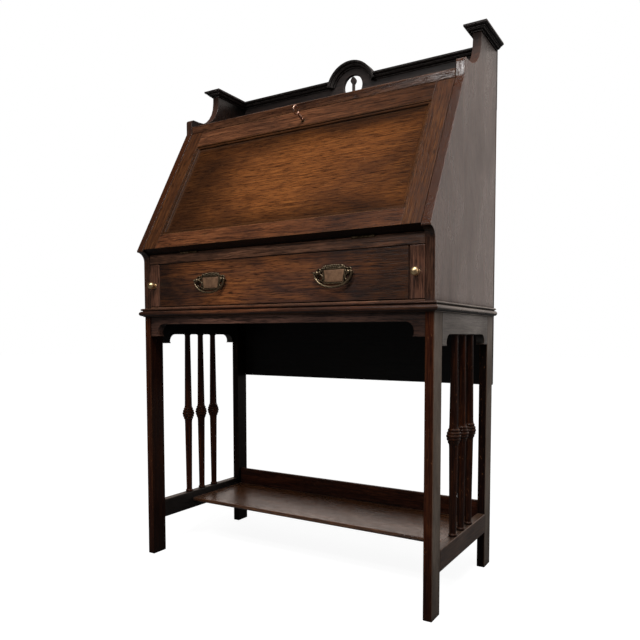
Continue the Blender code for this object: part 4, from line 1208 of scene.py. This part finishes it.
    def add_escutcheon(self) -> None:
        """Let a thin ring into the rail round the key."""
        profile = [(radius, self.face + up) for radius, up in in_metres(self.RING)]
        ring = turned("key_escutcheon", profile, self.ring_sides)
        self.on_fall(settle(ring, (0.0, self.key_level, 0.0)))
        fit(ring, self.brass, "fall", "brass")

    def screw_head(self) -> Piece:
        """Shape a slotted screw head that stands a little proud of the origin."""
        screw = start("screw", bpy.ops.mesh.primitive_cylinder_add, vertices=24, radius=self.screw_radius,
                      depth=2.0 * self.screw_height)
        for edge in (-self.slot_half, self.slot_half):
            pick_all()
            bpy.ops.mesh.bisect(plane_co=(edge, 0.0, 0.0), plane_no=(1.0, 0.0, 0.0))
        settle(screw)
        pick(screw, Pick.FACES, lambda part: part.normal.z > FACING and abs(part.center.x) < self.slot_half)
        extrude((0.0, 0.0, -self.slot_depth))
        return soften(screw)

    def screw_row(self, screw: Piece, name: str, hand: int, inset_by: float) -> Piece:
        """Set three screws beside each other in a hinge leaf.

        Args:
            screw: the screw to copy.
            name: name of the row.
            hand: -1 for the left hinge, 1 for the right one.
            inset_by: distance from the hinge axis.

        Returns:
            The row, along and out from the hinge axis.
        """
        across = [hand * self.hinge_offset + step * self.screw_pitch for step in (-1, 0, 1)]
        return joined(name, [settle(copied(screw, "screw"), (x, inset_by, 0.0)) for x in across])

    def add_screws(self) -> None:
        """Set three slotted screws in each leaf of the hinges."""
        screw = self.screw_head()
        for hand, side in HANDS:
            bed = self.screw_row(screw, f"bed_screws_{side}", hand, self.screw_inset)
            fit(settle(bed, self.hinge), self.brass, "case", "brass")
            fall = self.screw_row(screw, f"fall_screws_{side}", hand, -self.screw_inset)
            settle(fall, turn=(math.pi, 0.0, 0.0))
            fit(self.on_fall(fall), self.brass, "fall", "brass")
        discard(screw)


@dataclass
class Drawer:
    """Drawer with its handles."""

    # Its near-black edge colour paints the shadow line round the drawer, and also marks dark dirt flecks; the
    # purple-grey of its broad patches paints a sheen.
    front: StainedOak = StainedOak(
        "drawer front oak", Grain.ALONG_FRONT, "#351a0e", "#8a502a", "#a06232", rubbed="#170d09",
        patch="#32211f", patch_share=0.85, patch_mm=240.0, streak_mm=3.4, edge_mm=1.7, rub=1.5, scuff=0.25,
        border=DarkBorder((-0.015, 0.0, 0.653), (0.3, 1.0, 0.077), 0.46, 0.7))
    inner: StainedOak = StainedOak(
        "drawer lining oak", Grain.ALONG_DEPTH, "#6a4a2e", "#8c6844", "#a8835a", patch="#5a3f28",
        patch_share=0.4, rubbed="#a88860", roughness=0.6, corner_wax_and_shade=0.4)
    bronze: WornMetal = WornMetal("antique bronze", "#9a866a", "#2b2119", 0.3, 0.34, 4.0, 0.9)
    copper: WornMetal = WornMetal("rubbed copper", "#a07a5c", "#664a38", 0.4, 0.36, 12.0, 0.45)
    centre_height: float = 664.15 * MM
    handle_offset: float = 164.0 * MM
    face: float = -176.2 * MM
    plate_width: float = 55.0 * MM
    plate_height: float = 32.0 * MM
    plate_thickness: float = 2.0 * MM
    plate_rim: float = 2.6 * MM
    # Gap between the plate's rim and its cushioned field.
    field_gap: float = 1.2 * MM
    bead_radius: float = 2.1 * MM
    bead_flat: float = 0.8
    # Share of the plate's thickness at which the beads have their middles.
    bead_seat: float = 0.8
    beads: int = 13
    crest: float = 2.0 * MM
    taper: float = 0.86
    post_offset: float = 36.5 * MM
    post_rise: float = 6.0 * MM
    post_sides: int = 24
    pivot_reach: float = 7.3 * MM
    arm: float = 43.8 * MM
    drop: float = 29.0 * MM
    wire: float = 2.1 * MM
    pin_radius: float = 1.5 * MM
    pin_seat: float = 4.2 * MM
    pin_swell: float = 0.7 * MM
    pin_sides: int = 16

    # Place across and up, ring radius and wire, in mm, of the pierced scrolls at a plate's end.
    SCROLLS = ((32.6, -3.0, 6.4, 1.5), (36.0, 10.8, 4.2, 1.3), (29.0, 12.6, 2.6, 1.1),
               (30.0, -12.4, 2.8, 1.1), (41.6, 4.6, 2.4, 1.0))
    # Width and rise in mm of the steps from a plate's edge to its sunk centre, and of those up its field.
    PLATE_STEPS = ((0.7, 0.5), (1.2, 0.0), (0.7, -1.0), (0.8, 0.1))
    FIELD_STEPS = ((0.6, 0.25), (1.2, 0.2), (3.0, 0.1))
    # Rise in mm over the plate of the lower and the upper row of beads.
    BEAD_ROWS = (-0.4, 2.9)
    # Radius and height in mm of a post: flange, neck and round head.
    POST = ((0.0, 0.0), (5.4, 0.0), (5.4, 1.6), (4.6, 2.4), (3.3, 3.0), (3.0, 4.2), (3.9, 5.4), (4.2, 7.0),
            (4.2, 8.6), (3.6, 10.4), (2.2, 11.3), (0.0, 11.5))
    # Share of the bail's drop below which it swells, and by how many mm.
    BAIL_SWELLS = ((0.35, 0.2), (0.6, 0.3), (0.8, 0.3))

    def build(self) -> None:
        """Dress the drawer's solids and make its handles."""
        dress(self.front, "drawer_front")
        dress(self.inner, *both("drawer_side"), "drawer_back", "drawer_bottom")
        rim = 2.0 * (self.plate_rim + self.field_gap)
        field = self.tapered("plate_field", self.plate_width - rim, self.plate_height - rim, self.FIELD_STEPS)
        plate = self.plate()
        bail = self.bail()
        pivot_y = self.face - self.plate_thickness - self.pivot_reach + self.wire
        for hand, side in HANDS:
            across = hand * self.handle_offset
            place = (across, self.face, self.centre_height)
            piece = settle(copied(plate, f"cast_plate_{side}"), place)
            fit(piece, self.bronze, "drawer", "bronze", f"handle_plate_{side}")
            fit(settle(copied(field, f"plate_field_{side}"), place), self.copper, "drawer", "bronze")
            pivot = (across, pivot_y, self.centre_height + self.post_rise)
            piece = settle(copied(bail, f"cast_bail_{side}"), pivot)
            fit(piece, self.bronze, f"bail_{side}", "bronze", f"handle_bail_{side}")
        discard(field, plate, bail)

    def tapered(self, name: str, width: float, height: float, steps: Steps) -> Piece:
        """Shape a plate that is narrower at its foot and stepped in front, with its back at the origin.

        Args:
            name: name of the plate.
            width: its width at the head.
            height: its height.
            steps: width and rise in mm of each step of its front.

        Returns:
            The plate.
        """
        thick = self.plate_thickness
        piece = block(name, (0.0, -thick / 2.0, 0.0), (width, thick, height))
        pick(piece, Pick.POINTS, lambda point: point.co.z < 0.0)
        bpy.ops.transform.resize(value=(self.taper, 1.0, 1.0))
        pick(piece, Pick.FACES, lambda part: part.normal.y < -FACING)
        inset(steps)
        return soften(piece)

    def plate(self) -> Piece:
        """Cast a plate that faces -Y: sunk centre, beaded crest, pierced scrolls and two posts."""
        pieces = [self.tapered("plate_centre", self.plate_width, self.plate_height, self.PLATE_STEPS)]
        pieces += self.crest_beads()
        for hand, _ in HANDS:
            for across, up, radius, wire in self.SCROLLS:
                pieces.append(self.scroll((hand * across * MM, -wire * MM, up * MM), radius * MM, wire * MM))
            post = turned("post", in_metres(self.POST), self.post_sides)
            pieces.append(settle(post, (hand * self.post_offset, 0.0, self.post_rise), (QUARTER, 0.0, 0.0)))
        return joined("plate", pieces)

    def crest_beads(self) -> list[Piece]:
        """Set two arched rows of beads on the plate's head, the upper one a bead shorter."""
        bead = start("bead", bpy.ops.mesh.primitive_uv_sphere_add, segments=12, ring_count=8,
                     radius=self.bead_radius)
        pick_all()
        bpy.ops.transform.resize(value=(1.0, self.bead_flat, 1.0))
        soften(bead)
        half = self.plate_width / 2.0 - self.bead_radius
        pieces = []
        for row, rise in enumerate(self.BEAD_ROWS):
            count = self.beads - row
            reach = half * (count - 1) / (self.beads - 1)
            for number in range(count):
                share = 2.0 * number / (count - 1) - 1.0
                level = self.plate_height / 2.0 + self.crest * (1.0 - share ** 2) + rise * MM
                place = (share * reach, -self.plate_thickness * self.bead_seat, level)
                pieces.append(settle(copied(bead, "bead"), place))
        discard(bead)
        return pieces

    def scroll(self, place: Point, radius: float, wire: float) -> Piece:
        """Make a pierced ring with a flattened back.

        Args:
            place: its centre.
            radius: radius of the ring's middle line.
            wire: radius of its section.

        Returns:
            The ring.
        """
        ring = start("scroll", bpy.ops.mesh.primitive_torus_add, major_radius=radius, minor_radius=wire,
                     major_segments=24, minor_segments=10, location=place, rotation=(QUARTER, 0.0, 0.0))
        settle(ring)
        pick(ring, Pick.POINTS, lambda point: point.co.y > place[1] + wire / 2.0)
        bpy.ops.transform.resize(value=(1.0, 0.0, 1.0))
        return soften(ring)

    def bail(self) -> Piece:
        """Sweep a half-oval bail, stouter at the foot, that hangs from the origin by a pin at each end."""
        rod = start("bail", bpy.ops.mesh.primitive_circle_add, vertices=14, radius=self.wire,
                    fill_type="NGON", location=(-self.arm, 0.0, 0.0))
        pick_all()
        bpy.ops.mesh.spin(steps=36, angle=-math.pi, center=(0.0, 0.0, 0.0), axis=(0.0, 1.0, 0.0))
        face_outwards()
        settle(rod)
        flip = 1.0 if min(point.co.z for point in rod.data.vertices) < -self.arm / 2.0 else -1.0
        pick_all()
        flatten = (1.0, 1.0, flip * self.drop / self.arm)
        bpy.ops.transform.resize(value=flatten, center_override=(0.0, 0.0, 0.0))
        bpy.ops.mesh.normals_make_consistent(inside=False)
        for share, swell in self.BAIL_SWELLS:
            settle(rod)
            pick(rod, Pick.POINTS, lambda point: point.co.z < -share * self.drop)
            bpy.ops.transform.shrink_fatten(value=swell * MM)
        pieces = [soften(rod)]
        inner = self.post_offset - self.pin_seat
        low, high = self.arm - self.wire, self.arm + self.wire
        profile = [(0.0, inner), (self.pin_radius, inner), (self.pin_radius, low)]
        profile += half_round(self.wire, low, high, self.pin_swell) + [(0.0, high)]
        for hand, _ in HANDS:
            pieces.append(settle(turned("pin", profile, self.pin_sides), turn=(0.0, hand * QUARTER, 0.0)))
        return joined("bail", pieces)


@dataclass
class Lopers:
    """Pull-out supports of the fall and their knobs."""

    oak: StainedOak = StainedOak(
        "loper oak", Grain.UPRIGHT, "#2c1710", "#64402f", "#7c5340", rubbed="#7c5338", streak_mm=3.4,
        corner_wax_and_shade=0.3)
    brass: WornMetal = WornMetal("polished brass", "#f0d0a0", "#9a764e", 0.36, 0.25, 5.0)
    knob_radius: float = 8.6 * MM
    knob_sides: int = 36
    ball_steps: int = 14
    neck_radius: float = 4.2 * MM
    neck_bead: float = 0.6 * MM
    neck_low: float = 1.6 * MM
    neck_high: float = 3.0 * MM
    knob_foot: float = 3.5 * MM

    # Radius and height in mm of the knob's rose.
    ROSE = ((0.0, 0.0), (6.2, 0.0), (6.2, 0.6), (5.7, 1.1), (4.8, 1.5))

    def build(self) -> None:
        """Dress the lopers' solids and turn their knobs."""
        dress(self.oak, *both("loper"))
        pattern = turned("knob", self.knob_profile(), self.knob_sides)
        settle(pattern, turn=(QUARTER, 0.0, 0.0))
        for _, side in HANDS:
            low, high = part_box(f"loper_knob_{side}")
            place = ((low[0] + high[0]) / 2.0, high[1], (low[2] + high[2]) / 2.0)
            piece = settle(copied(pattern, f"turned_knob_{side}"), place)
            fit(piece, self.brass, f"loper_{side}", "brass", f"loper_knob_{side}")
        discard(pattern)

    def knob_profile(self) -> Profile:
        """Profile of a knob from the foot of its rose: ogee rose, neck with a bead, ball."""
        rise = math.sqrt(self.knob_radius ** 2 - self.neck_radius ** 2)
        centre = self.knob_foot + rise
        first = math.asin(-rise / self.knob_radius)
        ball = []
        for step in range(self.ball_steps):
            angle = first + (QUARTER - first) * step / self.ball_steps
            ball.append((self.knob_radius * math.cos(angle), centre + self.knob_radius * math.sin(angle)))
        root = self.neck_radius - self.neck_bead
        neck = half_round(root, self.neck_low, self.neck_high, self.neck_bead, steps=5)
        return in_metres(self.ROSE) + neck + ball + [(0.0, centre + self.knob_radius)]


@dataclass
class Studio:
    """White backdrop, pale floor, soft lamps and the camera at the photograph's angle."""

    camera_place: Point = (0.81243, -1.24745, 0.54337)
    camera_tilt: float = math.radians(86.907)
    camera_turn: float = math.radians(29.98)
    camera_roll: float = math.radians(-0.081)
    lens: float = 34.76
    sensor: float = 36.0
    shift: Span = (-0.0426, 0.0771)
    floor_size: float = 30.0
    floor_roughness: float = 0.9
    # What the camera sees of the floor: how much of it glows, and how bright.
    floor_glow_share: float = 0.72
    floor_glow: float = 1.26
    # Light of the room on matt surfaces.
    fill: float = 0.42
    # Way to the lit backdrop, where it starts and ends, and the room's light away from it and on it.
    backdrop: Point = (0.35, 0.94, 0.0)
    backdrop_edge: Span = (-0.1, 0.55)
    room: Span = (0.03, 0.95)

    # Name, place, aim, size and watts of each lamp.
    LAMPS = (("high softbox", (0.95, -1.1, 3.2), (0.0, -0.1, 0.8), (1.3, 1.1), 78.0),
             ("window glint", (-0.064, -1.248, 1.636), (0.37, -0.03, 1.09), (0.15, 0.15), 6.0))

    def build(self) -> None:
        """Set up the studio."""
        self.add_camera()
        self.add_world()
        self.add_floor()
        for lamp in self.LAMPS:
            self.add_lamp(*lamp)

    def add_camera(self) -> None:
        """Place the camera."""
        lens = bpy.data.cameras.new("camera")
        lens.lens = self.lens
        lens.sensor_width = self.sensor
        lens.shift_x, lens.shift_y = self.shift
        camera = bpy.data.objects.new("camera", lens)
        camera.location = self.camera_place
        camera.rotation_euler = (self.camera_tilt, self.camera_roll, self.camera_turn)
        bpy.context.scene.collection.objects.link(camera)
        bpy.context.scene.camera = camera

    def add_world(self) -> None:
        """Light the scene with a white backdrop behind and a dimmer room in front."""
        world = bpy.data.worlds.new("studio")
        world.use_nodes = True
        bpy.context.scene.world = world
        tree = world.node_tree
        way = add_node(tree, "TexCoord").outputs["Generated"]
        ray = add_node(tree, "LightPath").outputs
        behind = add_node(tree, "VectorMath", {"operation": "DOT_PRODUCT", 1: self.backdrop}, {0: way})
        grade = {"From Min": self.backdrop_edge[0], "From Max": self.backdrop_edge[1],
                 "To Min": self.room[0], "To Max": self.room[1]}
        room = add_node(tree, "MapRange", grade, {"Value": behind})
        soft = add_node(tree, "Mix", {"data_type": "FLOAT", "A": self.fill},
                        {"Factor": ray["Is Glossy Ray"], "B": room})
        seen = add_node(tree, "Math", {"operation": "MAXIMUM"},
                        {0: ray["Is Camera Ray"], 1: ray["Is Transmission Ray"]})
        strength = add_node(tree, "Mix", {"data_type": "FLOAT", "B": 1.0}, {"Factor": seen, "A": soft})
        warm = add_node(tree, "Mix", {"data_type": "RGBA", 6: linear("#ffffff"), 7: linear("#fff2ea")},
                        {"Factor": ray["Is Glossy Ray"]})
        link(tree, tree.nodes["Background"], {"Color": warm, "Strength": strength})
        # The room and the backdrop differ by kind of ray, which only rays that leave a surface can tell.
        world.cycles.sampling_method = "NONE"

    def add_floor(self) -> None:
        """Lay a pale floor that keeps a faint shadow."""
        floor = start("floor", bpy.ops.mesh.primitive_plane_add, size=self.floor_size)
        material, tree, shader = new_material("pale floor")
        shader.inputs["Roughness"].default_value = self.floor_roughness
        shader.inputs["Specular IOR Level"].default_value = 0.0
        seen = add_node(tree, "LightPath").outputs["Is Camera Ray"]
        pale = add_node(tree, "Mix", {"data_type": "RGBA", 6: linear("#686868"), 7: linear("#f4f4f4")},
                        {"Factor": seen})
        link(tree, shader, {"Base Color": pale})
        white = add_node(tree, "Emission", {"Color": linear("#ffffff"), "Strength": self.floor_glow})
        share = add_node(tree, "Math", {"operation": "MULTIPLY", 1: self.floor_glow_share}, {0: seen})
        mixed = add_node(tree, "MixShader", None, {0: share, 1: shader, 2: white})
        link(tree, tree.nodes["Material Output"], {"Surface": mixed})
        floor.data.materials.append(material)

    def add_lamp(self, name: str, place: Point, aim: Point, size: Span, watts: float) -> None:
        """Add a soft lamp.

        Args:
            name: the lamp's name.
            place: where it stands.
            aim: the point that it faces.
            size: its width and height.
            watts: its power.
        """
        data = bpy.data.lights.new(name, "AREA")
        data.shape = "RECTANGLE"
        data.size, data.size_y = size
        data.energy = watts
        lamp = bpy.data.objects.new(name, data)
        lamp.location = place
        lamp.rotation_euler = (Vector(aim) - Vector(place)).to_track_quat("-Z", "Y").to_euler()
        lamp.visible_camera = False
        bpy.context.scene.collection.objects.link(lamp)


def main() -> None:
    """Build the sub-assemblies in order and set up the studio."""
    logging.basicConfig(level=logging.INFO, format="%(name)s: %(message)s")
    bpy.context.scene.view_settings.view_transform = "Standard"
    for part in (Stand(), Case(), Gallery(), Fall(), Drawer(), Lopers(), Studio()):
        part.build()


if __name__ == "__main__":
    main()
